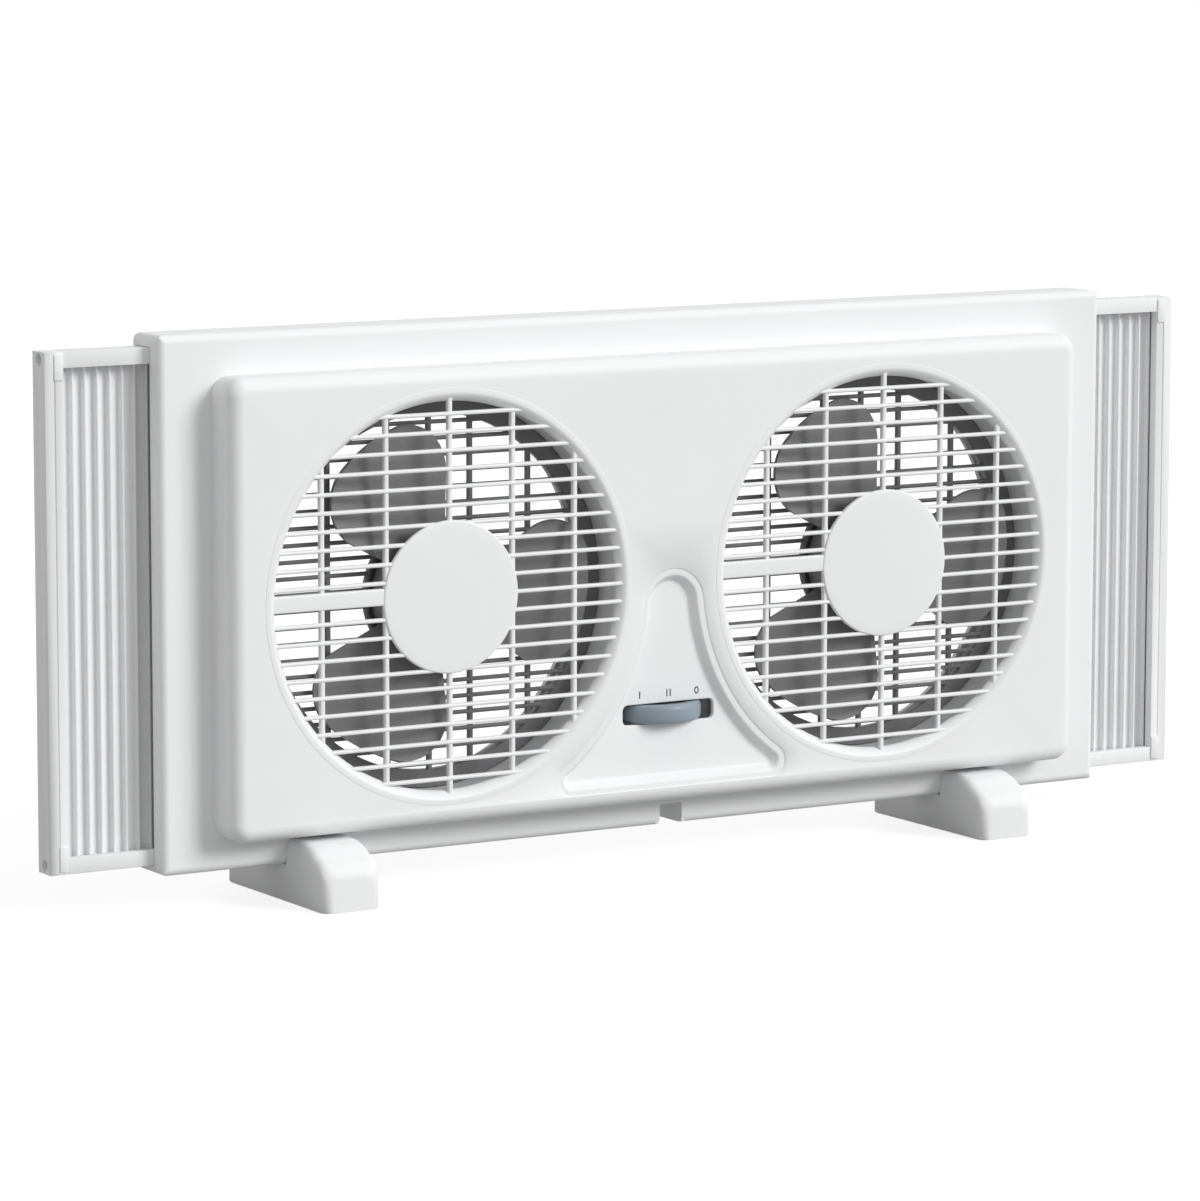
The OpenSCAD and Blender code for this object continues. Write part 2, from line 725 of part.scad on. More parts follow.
module switch_body() {
    color(dark) difference() {
        union() {
            block([-switch_body_w / 2, switch_body_w / 2],
                  [wheel_y - switch_body_d / 2, wheel_y + switch_body_d / 2],
                  [switch_body_z, switch_body_z + switch_body_h]);
            block([-switch_ear_w / 2, switch_ear_w / 2], [switch_ear_y, switch_ear_y + switch_ear_t],
                  [switch_screw_z - switch_ear_h / 2, switch_screw_z + switch_ear_h / 2]);
        }
        translate([0, wheel_y, switch_body_z - 1])
            cylinder(r = spindle_r + shaft_play, h = 13.5);
        for (x = [-switch_screw_x, switch_screw_x]) translate([x, 0, switch_screw_z])
            rod_y(screw_r + 0.3, switch_ear_y - 1, switch_ear_t + 2);
    }
}

module switch_screws() {
    color(metal) for (x = [-switch_screw_x, switch_screw_x])
        translate([x, 0, switch_screw_z]) screw(switch_ear_y + switch_ear_t, switch_ear_t + switch_screw_grip - 2);
}

// ---- Fasteners and inlet ----

module motor_screws() {
    color(metal) for (s = [-1, 1]) at_fan(s) motor_screw_places()
        screw(motor_back_y, motor_d + motor_screw_grip);
}

module cover_screws() {
    color(metal) for (p = cover_points) translate([p[0], 0, p[1]]) screw(plate_y, wall + screw_grip);
}

module back_screws() {
    color(metal) for (p = back_points) translate([p[0], 0, p[1]]) screw(back_y, wall + screw_grip);
}

module cord_grommet() {
    color(dark) translate([grommet_x, 0, grommet_z]) difference() {
        union() {
            rod_y(grommet_r, back_plate_y - 2, wall + 4);
            rod_y(grommet_r + 2, back_y, 2.2);
            rod_y(grommet_r + 1.6, back_plate_y - 2, 2);
        }
        rod_y(3.4, back_plate_y - 3, wall + 8);
    }
}

// ---- Side panels, drawn on the right and mirrored to the left ----

module on_side(side) {
    mirror([side < 0 ? 1 : 0, 0, 0]) children();
}

module end_post(side) {
    screw_z = rail_h / 2;
    on_side(side) color(white) difference() {
        union() {
            block([post_x, panel_end_x], [panel_y, panel_back_y], [panel_z, panel_top_z]);
            for (z = [panel_z + tab_edge, panel_top_z - tab_edge - tab_h])
                block([post_x + seat, post_x + seat + tab_w], [panel_y - tab_t, panel_y + join],
                      [z, z + tab_h]);
        }
        block([post_x + seat + tab_w - 0.6, post_x + seat + tab_w], [panel_y - 1, panel_y + 0.9],
              [panel_z + tab_edge + tab_h, panel_top_z - tab_edge - tab_h]);
        block([post_x - 1, post_x + 2.3], [rib_y - seat, web_y + web_t + seat],
              [web_z - seat, web_top_z + seat]);
        for (z = [panel_z + screw_z, panel_top_z - screw_z])
            translate([0, panel_y + panel_d / 2, z]) rotate([0, 90, 0]) {
                translate([0, 0, post_x - 1]) cylinder(r = screw_r + 0.3, h = post_w + 2);
                translate([0, 0, post_head_x]) cylinder(r = screw_head_r + seat, h = post_w);
            }
    }
}

module side_panel(side) {
    on_side(side) color(white) {
        block([web_x, post_x + 2], [web_y, web_y + web_t], [web_z, web_top_z]);
        for (k = [0:rib_total - 1])
            block([post_x - rib_w - k * rib_pitch, post_x - k * rib_pitch], [rib_y, web_y + join],
                  [web_z, web_top_z]);
    }
}

module rail(side, low_z, web_low, web_high) {
    on_side(side) color(white) difference() {
        block([rail_x, post_x], [panel_y, panel_back_y], [low_z, low_z + rail_h]);
        block([rail_x - 1, post_x + 1], [rib_y - seat, web_y + web_t + seat],
              [web_low, web_high]);
        translate([post_x - post_screw_grip - 1, panel_y + panel_d / 2, low_z + rail_h / 2])
            rotate([0, 90, 0]) cylinder(r = screw_r + screw_play, h = post_screw_grip + 2);
    }
}

module top_rail(side) {
    rail(side, panel_top_z - rail_h, panel_top_z - rail_h - 1, web_top_z + 0.1);
}

module bottom_rail(side) {
    rail(side, panel_z, web_z - 0.1, panel_z + rail_h + 1);
}

module post_screws(side) {
    on_side(side) color(metal) for (z = [panel_z + rail_h / 2, panel_top_z - rail_h / 2])
        translate([0, panel_y + panel_d / 2, z]) rotate([0, 90, 0]) {
            translate([0, 0, post_head_x]) cylinder(r = screw_head_r, h = screw_head_h);
            translate([0, 0, post_x - post_screw_grip])
                cylinder(r = screw_r, h = post_head_x - post_x + post_screw_grip + join);
        }
}

// ---- Feet ----

// Side outline in y and z, with the slot that grips the housing's lower edge
module foot_profile() {
    end_y = housing_d / 2 + foot_reach;
    grip_y = housing_d / 2 + 0.15;
    top = cover_z - foot_top_gap;
    slope_y = housing_d / 2 + cover_d;
    polygon([[-end_y, 0], [end_y, 0], [end_y, foot_nose_h], [slope_y, top], [grip_y, top],
             [grip_y, base_z], [-grip_y, base_z], [-grip_y, top], [-slope_y, top],
             [-end_y, foot_nose_h]]);
}

module foot_plan() {
    end_y = housing_d / 2 + foot_reach;
    square([foot_w, 2 * (end_y - foot_r)], center = true);
    square([foot_w - 2 * foot_r, 2 * end_y], center = true);
    for (x = [-1, 1]) for (y = [-1, 1])
        translate([x * (foot_w / 2 - foot_r), y * (end_y - foot_r)]) circle(r = foot_r);
}

module foot(side) {
    color(white) translate([side * (half_w - foot_end_gap), 0, 0]) intersection() {
        linear_extrude(cover_z) foot_plan();
        translate([-foot_w, 0, 0]) rotate([90, 0, 90]) linear_extrude(2 * foot_w) foot_profile();
    }
}

main_frame();
front_cover();
back_cover();
front_grille(-1);  // front_grille_left
front_grille(1);  // front_grille_right
rear_grille(-1);  // rear_grille_left
rear_grille(1);  // rear_grille_right
motor_case(-1);  // motor_case_left
motor_case(1);  // motor_case_right
motor_cap(-1);  // motor_cap_left
motor_cap(1);  // motor_cap_right
stator(-1);  // stator_left
stator(1);  // stator_right
rotor(-1);  // rotor_left
rotor(1);  // rotor_right
motor_shaft(-1);  // motor_shaft_left
motor_shaft(1);  // motor_shaft_right
motor_bushes(-1);  // motor_bushes_left
motor_bushes(1);  // motor_bushes_right
fan(-1);  // fan_left
fan(1);  // fan_right
fan_nut(-1);  // fan_nut_left
fan_nut(1);  // fan_nut_right
motor_leads(-1);  // motor_leads_left
motor_leads(1);  // motor_leads_right
switch_wheel();
switch_spindle();
switch_body();
switch_screws();
motor_screws();
cover_screws();
back_screws();
cord_grommet();
end_post(-1);  // end_post_left
end_post(1);  // end_post_right
side_panel(-1);  // side_panel_left
side_panel(1);  // side_panel_right
top_rail(-1);  // top_rail_left
top_rail(1);  // top_rail_right
bottom_rail(-1);  // bottom_rail_left
bottom_rail(1);  // bottom_rail_right
post_screws(-1);  // post_screws_left
post_screws(1);  // post_screws_right
foot(-1);  // foot_left
foot(1);  // foot_right
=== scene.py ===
"""Looks of the twin window fan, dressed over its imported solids.

Sizes are in millimetres in the classes and become metres when a mesh is made. +X is to the right
seen from the front, +Y to the back and +Z up; the origin is on the floor under the housing.
"""
import logging
import math
from dataclasses import dataclass
from enum import Enum
from functools import cache

import bmesh
import bpy
import numpy as np
from mathutils import Euler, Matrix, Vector
from mathutils.geometry import delaunay_2d_cdt


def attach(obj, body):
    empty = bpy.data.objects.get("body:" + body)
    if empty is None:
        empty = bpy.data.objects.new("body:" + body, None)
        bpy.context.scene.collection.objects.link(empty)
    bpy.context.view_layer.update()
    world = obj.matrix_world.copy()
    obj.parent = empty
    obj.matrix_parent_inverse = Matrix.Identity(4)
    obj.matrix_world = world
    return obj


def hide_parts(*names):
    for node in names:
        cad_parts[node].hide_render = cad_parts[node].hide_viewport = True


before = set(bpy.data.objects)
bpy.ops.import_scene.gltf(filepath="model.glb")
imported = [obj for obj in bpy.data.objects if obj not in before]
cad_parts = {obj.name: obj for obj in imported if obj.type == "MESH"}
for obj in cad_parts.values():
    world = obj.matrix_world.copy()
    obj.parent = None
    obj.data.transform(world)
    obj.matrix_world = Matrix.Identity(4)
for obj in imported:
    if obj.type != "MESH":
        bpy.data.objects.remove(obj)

Pair = tuple[float, float]
Triple = tuple[float, float, float]
Inputs = dict[str | int, object]
Array = np.ndarray
Surface = tuple[Array, Array]
Thing = bpy.types.Object
Socket = bpy.types.NodeSocket

MM = 0.001
WELD = 0.0005
WHITE = (1.0, 1.0, 1.0, 1.0)
log = logging.getLogger("window_fan")


class Side(Enum):
    """The two halves of the fan, seen from the front; the value is the sign of x."""

    LEFT = -1
    RIGHT = 1

    @property
    def word(self) -> str:
        """Name of the side as it stands in node names."""
        return self.name.lower()


class Body(Enum):
    """Rigid bodies that the pieces ride on."""

    HOUSING = "housing"
    LEFT_FAN = "left_fan"
    RIGHT_FAN = "right_fan"
    THUMBWHEEL = "thumbwheel"
    LEFT_PANEL = "left_panel"
    RIGHT_PANEL = "right_panel"


def with_settings(thing: object, **settings: object) -> object:
    """Set properties on a thing and give it back."""
    for name, value in settings.items():
        setattr(thing, name, value)
    return thing


# ---- node groups


class NodeWriter:
    """Short way to place and wire nodes in one tree."""

    def __init__(self, tree: bpy.types.NodeTree) -> None:
        """Keep the tree that the nodes go into."""
        self.tree = tree

    def add(self, kind: str, inputs: Inputs | None = None, **settings: object) -> bpy.types.Node:
        """Add a node with settings; kind is its type less the ShaderNode prefix, or the full type."""
        full = kind if kind.startswith("Node") else f"ShaderNode{kind}"
        node = with_settings(self.tree.nodes.new(full), **settings)
        self.give(node, inputs or {})
        return node

    def give(self, node: bpy.types.Node, inputs: Inputs) -> None:
        """Set or wire a node's inputs: a value or socket for each, by name or number."""
        for name, value in inputs.items():
            if isinstance(value, Socket):
                self.tree.links.new(value, node.inputs[name])
            else:
                node.inputs[name].default_value = value

    def maths(self, operation: str, a: object, b: object) -> Socket:
        """Add a Math node and give its result."""
        return self.add("Math", {0: a, 1: b}, operation=operation).outputs[0]

    def noise(self, vector: Socket, scale: object, detail: float) -> Socket:
        """Add a Noise texture and give its grey value."""
        return self.add("TexNoise", {"Vector": vector, "Scale": scale, "Detail": detail}).outputs["Fac"]


class SurfaceGroup(NodeWriter):
    """A shared node group that gives the colour, roughness and height of a surface."""

    def __init__(self, name: str, inputs: Inputs) -> None:
        """Open the group with its sockets; an input whose default is a tuple is a colour."""
        super().__init__(bpy.data.node_groups.new(name, "ShaderNodeTree"))
        sockets = self.tree.interface
        for socket, value in inputs.items():
            kind = "NodeSocketColor" if isinstance(value, tuple) else "NodeSocketFloat"
            sockets.new_socket(name=socket, in_out="INPUT", socket_type=kind).default_value = value
        for socket, kind in (("Color", "Color"), ("Roughness", "Float"), ("Height", "Float")):
            sockets.new_socket(name=socket, in_out="OUTPUT", socket_type=f"NodeSocket{kind}")
        self.given = self.add("NodeGroupInput").outputs
        self.place = self.add("TexCoord").outputs["Object"]

    def blend(self, a: object, b: object) -> Socket:
        """Add 0.7 of one value to 0.3 of another."""
        return self.maths("ADD", self.maths("MULTIPLY", a, 0.7), self.maths("MULTIPLY", b, 0.3))

    def sway(self, base: object, wave: object, amount: object) -> Socket:
        """Move a value by amount times a noise less one half."""
        centred = self.maths("SUBTRACT", wave, 0.5)
        return self.maths("ADD", self.maths("MULTIPLY", centred, amount), base)

    def close(self, light: object, roughness: object, height: object) -> bpy.types.NodeTree:
        """Scale the given colour by the light and wire the outputs."""
        color = self.add("VectorMath", {0: self.given["Color"], "Scale": light}, operation="SCALE")
        self.add("NodeGroupOutput", {"Color": color.outputs[0], "Roughness": roughness,
                                     "Height": height})
        return self.tree


@cache
def moulded_group() -> bpy.types.NodeTree:
    """Build the look of moulded plastic: slow clouds of tone, fine spark grain and flow marks."""
    w = SurfaceGroup("moulded_plastic", {"Color": (0.8, 0.8, 0.8, 1), "Cloud": 0.04, "Roughness": 0.4})
    cloud = w.noise(w.place, 11.0, 3.0)
    flow = w.noise(w.place, 46.0, 2.0)
    grain = w.noise(w.place, 1500.0, 2.0)
    light = w.sway(1.0, w.blend(cloud, flow), w.given["Cloud"])
    return w.close(light, w.sway(w.given["Roughness"], flow, 0.08), w.blend(grain, flow))


@cache
def brushed_group() -> bpy.types.NodeTree:
    """Build the look of drawn or turned metal: fine lines round the Y axis and slow stains."""
    w = SurfaceGroup("drawn_metal", {"Color": (0.6, 0.6, 0.6, 1), "Line Scale": 900.0,
                                     "Roughness": 0.35})
    squeeze = w.add("Mapping", {"Vector": w.place, "Scale": (0.05, 1.0, 0.05)})
    lines = w.noise(squeeze.outputs[0], w.given["Line Scale"], 3.0)
    stain = w.noise(w.place, 60.0, 3.0)
    rough = w.maths("ADD", w.given["Roughness"], w.maths("MULTIPLY", lines, 0.18))
    return w.close(w.sway(0.97, stain, 0.25), rough, lines)


# ---- finishes


@dataclass(frozen=True)
class Recipe:
    """Colour and roughness of a material.

    Each kind of surface adds its group, the group's input that only it has with the field that
    feeds it, its relief and its shader's values.
    """

    name: str
    color: Triple
    roughness: float

    @cache
    def make(self) -> bpy.types.Material:
        """Build the material, once."""
        material = bpy.data.materials.new(self.name)
        material.use_nodes = True
        material.diffuse_color = (*self.color, 1)
        w = NodeWriter(material.node_tree)
        socket, source = self.own
        given = {"Color": (*self.color, 1), "Roughness": self.roughness, socket: getattr(self, source)}
        look = w.add("Group", given, node_tree=self.group()).outputs
        bump = w.add("Bump", {"Strength": self.relief, "Distance": self.grain_height * MM,
                              "Height": look["Height"]})
        w.give(material.node_tree.nodes["Principled BSDF"],
               {"Base Color": look["Color"], "Roughness": look["Roughness"],
                "Normal": bump.outputs[0]} | self.shader)
        return material


@dataclass(frozen=True)
class MouldedPlastic(Recipe):
    """A satin moulded plastic."""

    cloud: float = 0.05
    grain_height: float = 0.02
    group = staticmethod(moulded_group)
    own = ("Cloud", "cloud")
    relief = 0.5
    shader = {"IOR": 1.46, "Specular IOR Level": 0.3}


@dataclass(frozen=True)
class DrawnMetal(Recipe):
    """A turned, drawn or pressed metal."""

    line_scale: float = 900.0
    grain_height = 0.01
    group = staticmethod(brushed_group)
    own = ("Line Scale", "line_scale")
    relief = 0.3
    shader = {"Metallic": 1.0}


class Finish(Enum):
    """Every finish on the fan; each carries the recipe of its material."""

    HOUSING = MouldedPlastic("white_housing", (0.855, 0.86, 0.865), 0.54)
    PANEL = MouldedPlastic("white_panel", (0.85, 0.855, 0.86), 0.54)
    GRILLE = MouldedPlastic("pale_grille", (0.85, 0.855, 0.86), 0.42)
    # The rear grille is grey plastic made darker still as painted shade: its colour also stands for the
    # shade it lies in behind the fan.
    REAR_GRILLE = MouldedPlastic("grey_rear_grille_painted_shade", (0.2, 0.2, 0.205), 0.5)
    # The fan is grey plastic made darker still as painted shade: its colour also stands for the shade
    # inside the duct.
    FAN = MouldedPlastic("grey_fan_painted_shade", (0.22, 0.22, 0.222), 0.4, cloud=0.08)
    WHEEL = MouldedPlastic("grey_wheel", (0.27, 0.325, 0.375), 0.38, cloud=0.08)
    INK = MouldedPlastic("switch_ink", (0.02, 0.022, 0.025), 0.55)
    SWITCH = MouldedPlastic("black_switch", (0.03, 0.03, 0.032), 0.5)
    RUBBER = MouldedPlastic("black_rubber", (0.02, 0.02, 0.021), 0.68, grain_height=0.05)
    LEAD = MouldedPlastic("black_lead", (0.02, 0.02, 0.022), 0.45)
    CASE = DrawnMetal("zinced_case", (0.56, 0.57, 0.58), 0.36)
    CORE = DrawnMetal("dark_core", (0.09, 0.09, 0.095), 0.5, line_scale=2400.0)
    SHAFT = DrawnMetal("ground_shaft", (0.62, 0.62, 0.63), 0.16, line_scale=1800.0)
    BRASS = DrawnMetal("bush_brass", (0.62, 0.41, 0.16), 0.3)
    SCREW = DrawnMetal("screw_steel", (0.55, 0.55, 0.56), 0.3)


def dress(thing: Thing, finish: Finish) -> None:
    """Put a finish on an object."""
    thing.data.materials.clear()
    thing.data.materials.append(finish.value.make())


# ---- surfaces


def points_of(*coordinates: object) -> Array:
    """Join coordinates, stretched to one shape, into points on a new last axis."""
    return np.stack(np.broadcast_arrays(*coordinates), axis=-1)


def arc(centre: Pair, radius: float, start: float, end: float, steps: int) -> Array:
    """Lay points along an arc; its first and last angles are in degrees."""
    angle = np.radians(np.linspace(start, end, steps))
    return points_of(centre[0] + radius * np.cos(angle), centre[1] + radius * np.sin(angle))


def grid_faces(rows: int, cols: int, wrap_rows: bool = False, wrap_cols: bool = False) -> Array:
    """Give the quads of a grid of points numbered row by row.

    Args:
        rows: number of rows.
        cols: points in a row.
        wrap_rows: whether the last row joins the first.
        wrap_cols: whether the last column does.

    Returns:
        Four indices for each face.
    """
    i = np.arange(rows if wrap_rows else rows - 1)[:, None]
    j = np.arange(cols if wrap_cols else cols - 1)[None, :]
    here, below = i * cols, (i + 1) % rows * cols
    after = (j + 1) % cols
    return points_of(here + j, here + after, below + after, below + j).reshape(-1, 4)


def turned(profile: Array, count: int, closed: bool = True) -> Surface:
    """Turn a profile round the Y axis: (r, y) goes to (r cos a, y, r sin a) for each angle a.

    Args:
        profile: points (r, y).
        count: number of angles.
        closed: whether the profile's end joins its start.

    Returns:
        Points and faces.
    """
    angle = np.linspace(0, 2 * np.pi, count, endpoint=False)[:, None]
    r, y = profile.T
    points = points_of(r * np.cos(angle), y, r * np.sin(angle))
    return points.reshape(-1, 3), grid_faces(count, len(profile), True, closed)


def parted(place: Array, reach: float, hide: float, cut: Array) -> list[Array]:
    """Lay bars across a round opening, some of them parted behind a disc.

    A bar at p runs out to the root of reach squared less p squared; a cut one starts at the root of
    hide squared less p squared.

    Args:
        place: where each bar crosses the other axis.
        reach: radius at which bars end.
        hide: radius that hides the cut ones.
        cut: which ones are cut.

    Returns:
        Place, start and end of each bar.
    """
    far = np.sqrt(reach ** 2 - place ** 2)
    gap = np.sqrt(np.maximum(hide ** 2 - place ** 2, 0))
    return [np.append(place, place[cut]), np.append(-far, gap[cut]),
            np.append(np.where(cut, -gap, far), far[cut])]


def bars(spans: list[Array], depth: float, section: Array, along: int) -> Surface:
    """Make straight bars with flat ends: u adds to their place, v to their depth.

    Args:
        spans: place, start and end of each.
        depth: y of their middle.
        section: points (u, v) round a bar.
        along: axis they run on, 0 for x and 2 for z.

    Returns:
        Points and faces.
    """
    place, low, high = spans
    count, steps = len(place), len(section)
    rings = np.empty((count, 2, steps, 3))
    rings[..., along] = points_of(low, high)[..., None]
    rings[..., 2 - along] = place[:, None, None] + section[:, 0]
    rings[..., 1] = depth + section[:, 1]
    i = np.arange(steps // 2 - 1)
    cap = points_of(i, i + 1, steps - 2 - i, steps - 1 - i)
    one = np.concatenate([grid_faces(2, steps, wrap_cols=True), cap[:, ::-1], cap + steps])
    if along == 0:
        one = one[:, ::-1]
    faces = (np.arange(count) * 2 * steps)[:, None, None] + one
    return rings.reshape(-1, 3), faces.reshape(-1, 4)


def soft_section(half_u: float, half_v: float, power: float, steps: int) -> Array:
    """Superellipse: the half sizes times |cos| and |sin| to 2 / power; a power over 2 is squarer."""
    angle = (np.arange(steps) + 0.5) * 2 * np.pi / steps
    c, s = np.cos(angle), np.sin(angle)
    return points_of(half_u * np.sign(c) * np.abs(c) ** (2 / power),
                     half_v * np.sign(s) * np.abs(s) ** (2 / power))


def tilted(a: Array, b: Array, degrees: float) -> Surface:
    """Turn two coordinates in their plane, the first axis towards the second."""
    c, s = math.cos(math.radians(degrees)), math.sin(math.radians(degrees))
    return a * c - b * s, a * s + b * c


@dataclass
class Outline:
    """A smooth closed outline: core points and the unit normals along which it grows."""

    core: Array
    normal: Array

    def at(self, grow: float) -> Array:
        """Points of the outline grown from its core: core plus grow times normal."""
        return self.core + grow * self.normal

    def strip(self, grow: Array, depth: Array) -> Surface:
        """Carry a profile round it: point (i, j) is core i plus grow j times normal i, at depth j."""
        flat = self.core[:, None, :] + grow[None, :, None] * self.normal[:, None, :]
        points = points_of(flat[..., 0], depth, flat[..., 1])
        return points.reshape(-1, 3), grid_faces(len(self.core), len(grow), wrap_rows=True)


def joined(parts: list[tuple[Array, Array]]) -> Outline:
    """Join pieces of an outline, each given as core points and normal angles in degrees."""
    core = np.concatenate([np.broadcast_to(p, (len(a), 2)) for p, a in parts])
    angle = np.radians(np.concatenate([a for _, a in parts]))
    return Outline(core, points_of(np.cos(angle), np.sin(angle)))


def rounded_box(centre: Pair, half_w: float, half_h: float, steps: int) -> Outline:
    """Outline a rectangle of half core sizes so that it grows into one with round corners."""
    x, z = centre
    corners = [(x + half_w, z - half_h, -90), (x + half_w, z + half_h, 0),
               (x - half_w, z + half_h, 90), (x - half_w, z - half_h, 180)]
    return joined([(np.array([[cx, cz]]), np.linspace(a, a + 90, steps)) for cx, cz, a in corners])


def inside(points: Array, loop: Array) -> Array:
    """Tell which points lie in a loop: a ray to +x from them crosses it an odd number of times."""
    ax, ay = loop.T
    bx, by = np.roll(loop, -1, axis=0).T
    px, py = points[:, :1], points[:, 1:]
    rise = np.where(by == ay, 1e-12, by - ay)
    cross = ax + (py - ay) * (bx - ax) / rise
    return (((ay > py) != (by > py)) & (px < cross)).sum(axis=1) % 2 == 1


def flat_region(outer: Array, holes: list[Array], y: float) -> Surface:
    """Fill a plane between an outer loop and holes, in x and z, by constrained Delaunay triangles."""
    loops = [outer, *holes]
    sizes = [len(loop) for loop in loops]
    starts = np.cumsum([0, *sizes[:-1]])
    edges = [(int(s + i), int(s + (i + 1) % n)) for s, n in zip(starts, sizes) for i in range(n)]
    made, _, tris, *_ = delaunay_2d_cdt([Vector(p) for p in np.concatenate(loops)], edges, [], 0, 1e-7)
    points = np.array([[p.x, y, p.y] for p in made])
    faces = np.array([list(t) for t in tris if len(t) == 3])
    middle = points[faces].mean(axis=1)[:, [0, 2]]
    keep = inside(middle, outer)
    for hole in holes:
        keep &= ~inside(middle, hole)
    return points, faces[keep]


# ---- meshes


def placed(name: str, data: bpy.types.ID) -> Thing:
    """Make an object of a mesh, camera or lamp and link it to the scene."""
    thing = bpy.data.objects.new(name, data)
    bpy.context.scene.collection.objects.link(thing)
    return thing


def smoothed(mesh: bpy.types.Mesh, sharp: float) -> None:
    """Shade a mesh smooth, but for its edges sharper than an angle in degrees."""
    mesh.shade_smooth()
    mesh.set_sharp_from_angle(angle=math.radians(sharp))


class MeshParts:
    """Collects surfaces in millimetres and makes one object of them in metres."""

    def __init__(self) -> None:
        """Start with nothing."""
        self.points: list[Array] = []
        self.faces: list[tuple[int, ...]] = []
        self.count = 0

    def add(self, surface: Surface, move: Triple = (0, 0, 0)) -> "MeshParts":
        """Add a surface, shifted by move, and give this collection back."""
        points, faces = surface
        self.points.append(points + np.array(move))
        self.faces.extend(map(tuple, (faces + self.count).tolist()))
        self.count += len(points)
        return self

    def add_tube(self, rings: Array) -> "MeshParts":
        """Add a tube, its points given by ring and place in it, with a flat face at each end."""
        rows, cols, _ = rings.shape
        first, last = self.count, self.count + (rows - 1) * cols
        self.add((rings.reshape(-1, 3), grid_faces(rows, cols, wrap_cols=True)))
        self.faces.append(tuple(range(first, first + cols)))
        self.faces.append(tuple(range(last + cols - 1, last - 1, -1)))
        return self

    def make(self, name: str, merge: float = WELD, sharp: float = 35.0) -> Thing:
        """Make a smooth object of the surfaces.

        Args:
            name: its name.
            merge: distance in millimetres within which points join, or 0.
            sharp: angle in degrees over which an edge is sharp.

        Returns:
            The object.
        """
        mesh = bpy.data.meshes.new(name)
        mesh.from_pydata((np.concatenate(self.points) * MM).tolist(), [], self.faces)
        if merge > 0:
            work = bmesh.new()
            work.from_mesh(mesh)
            bmesh.ops.remove_doubles(work, verts=work.verts, dist=merge * MM)
            bmesh.ops.dissolve_degenerate(work, dist=1e-7, edges=work.edges)
            bmesh.ops.recalc_face_normals(work, faces=work.faces)
            work.to_mesh(mesh)
            work.free()
        mesh.validate()
        smoothed(mesh, sharp)
        return placed(name, mesh)


def face_front(thing: Thing) -> None:
    """Turn a sheet's faces round if, by area, they look to the back."""
    if sum(face.normal.y * face.area for face in thing.data.polygons) > 0:
        thing.data.flip_normals()


def bake(thing: Thing, sharp: float) -> None:
    """Apply an object's modifiers and shade it smooth."""
    graph = bpy.context.evaluated_depsgraph_get()
    made = bpy.data.meshes.new_from_object(thing.evaluated_get(graph))
    thing.modifiers.clear()
    thing.data = made
    smoothed(made, sharp)


def softened(node: Thing, name: str, width: float) -> Thing:
    """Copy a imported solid, join its triangles into flat faces and round its edges by a width."""
    mesh = node.data.copy()
    mesh.name = name
    work = bmesh.new()
    work.from_mesh(mesh)
    bmesh.ops.remove_doubles(work, verts=work.verts, dist=1e-6)
    bmesh.ops.dissolve_limit(work, angle_limit=math.radians(0.6), verts=work.verts, edges=work.edges)
    work.to_mesh(mesh)
    work.free()
    if mesh.has_custom_normals:
        mesh.normals_split_custom_set([(0, 0, 0)] * len(mesh.loops))
    mesh.shade_smooth()
    thing = placed(name, mesh)
    with_settings(thing.modifiers.new("rounding", "BEVEL"), width=width * MM, segments=2,
                  angle_limit=math.radians(40))
    bake(thing, 42)
    return thing


# ---- sub-assemblies


@dataclass
class Layout:
    """Planes and axes that the sub-assemblies share, in millimetres."""

    cover_w: float = 539.0
    cover_h: float = 244.0
    cover_z: float = 37.0
    cover_y: float = -36.25
    front_y: float = -14.25
    fan_x: float = 138.6
    fan_z: float = 159.0
    opening_r: float = 104.0
    recess_y: float = -30.75
    wall: float = 2.5

    def axis(self, side: Side) -> Triple:
        """Place of a fan's axis."""
        return side.value * self.fan_x, 0.0, self.fan_z


class Assembly:
    """Base of the sub-assemblies: gives pieces their body, finish and stand-in."""

    layout = Layout()

    def settle(self, thing: Thing, body: Body, finish: Finish, slot: str, *stands_for: str) -> None:
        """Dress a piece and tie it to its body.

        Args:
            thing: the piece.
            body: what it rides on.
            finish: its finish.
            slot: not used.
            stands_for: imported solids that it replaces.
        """
        dress(thing, finish)
        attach(thing, body.value)
        if stands_for:
            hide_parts(*stands_for)
        log.info("piece %s: %d faces on %s, finish %s", thing.name, len(thing.data.polygons),
                 body.value, finish.name.lower())


@dataclass
class MarkShape:
    """Sizes of the printed switch marks, and how far the ink stands out and reaches in."""

    z: float = 96.3
    bar_x: Triple = (-18.5, -1.05, 1.05)
    bar_h: float = 4.2
    bar_w: float = 0.7
    ring_x: float = 18.0
    ring_half_w: float = 1.1
    ring_half_h: float = 1.75
    line_half_w: float = 0.34
    core: float = 0.02
    out: float = 0.06
    into: float = 0.2
    edge: float = 0.05


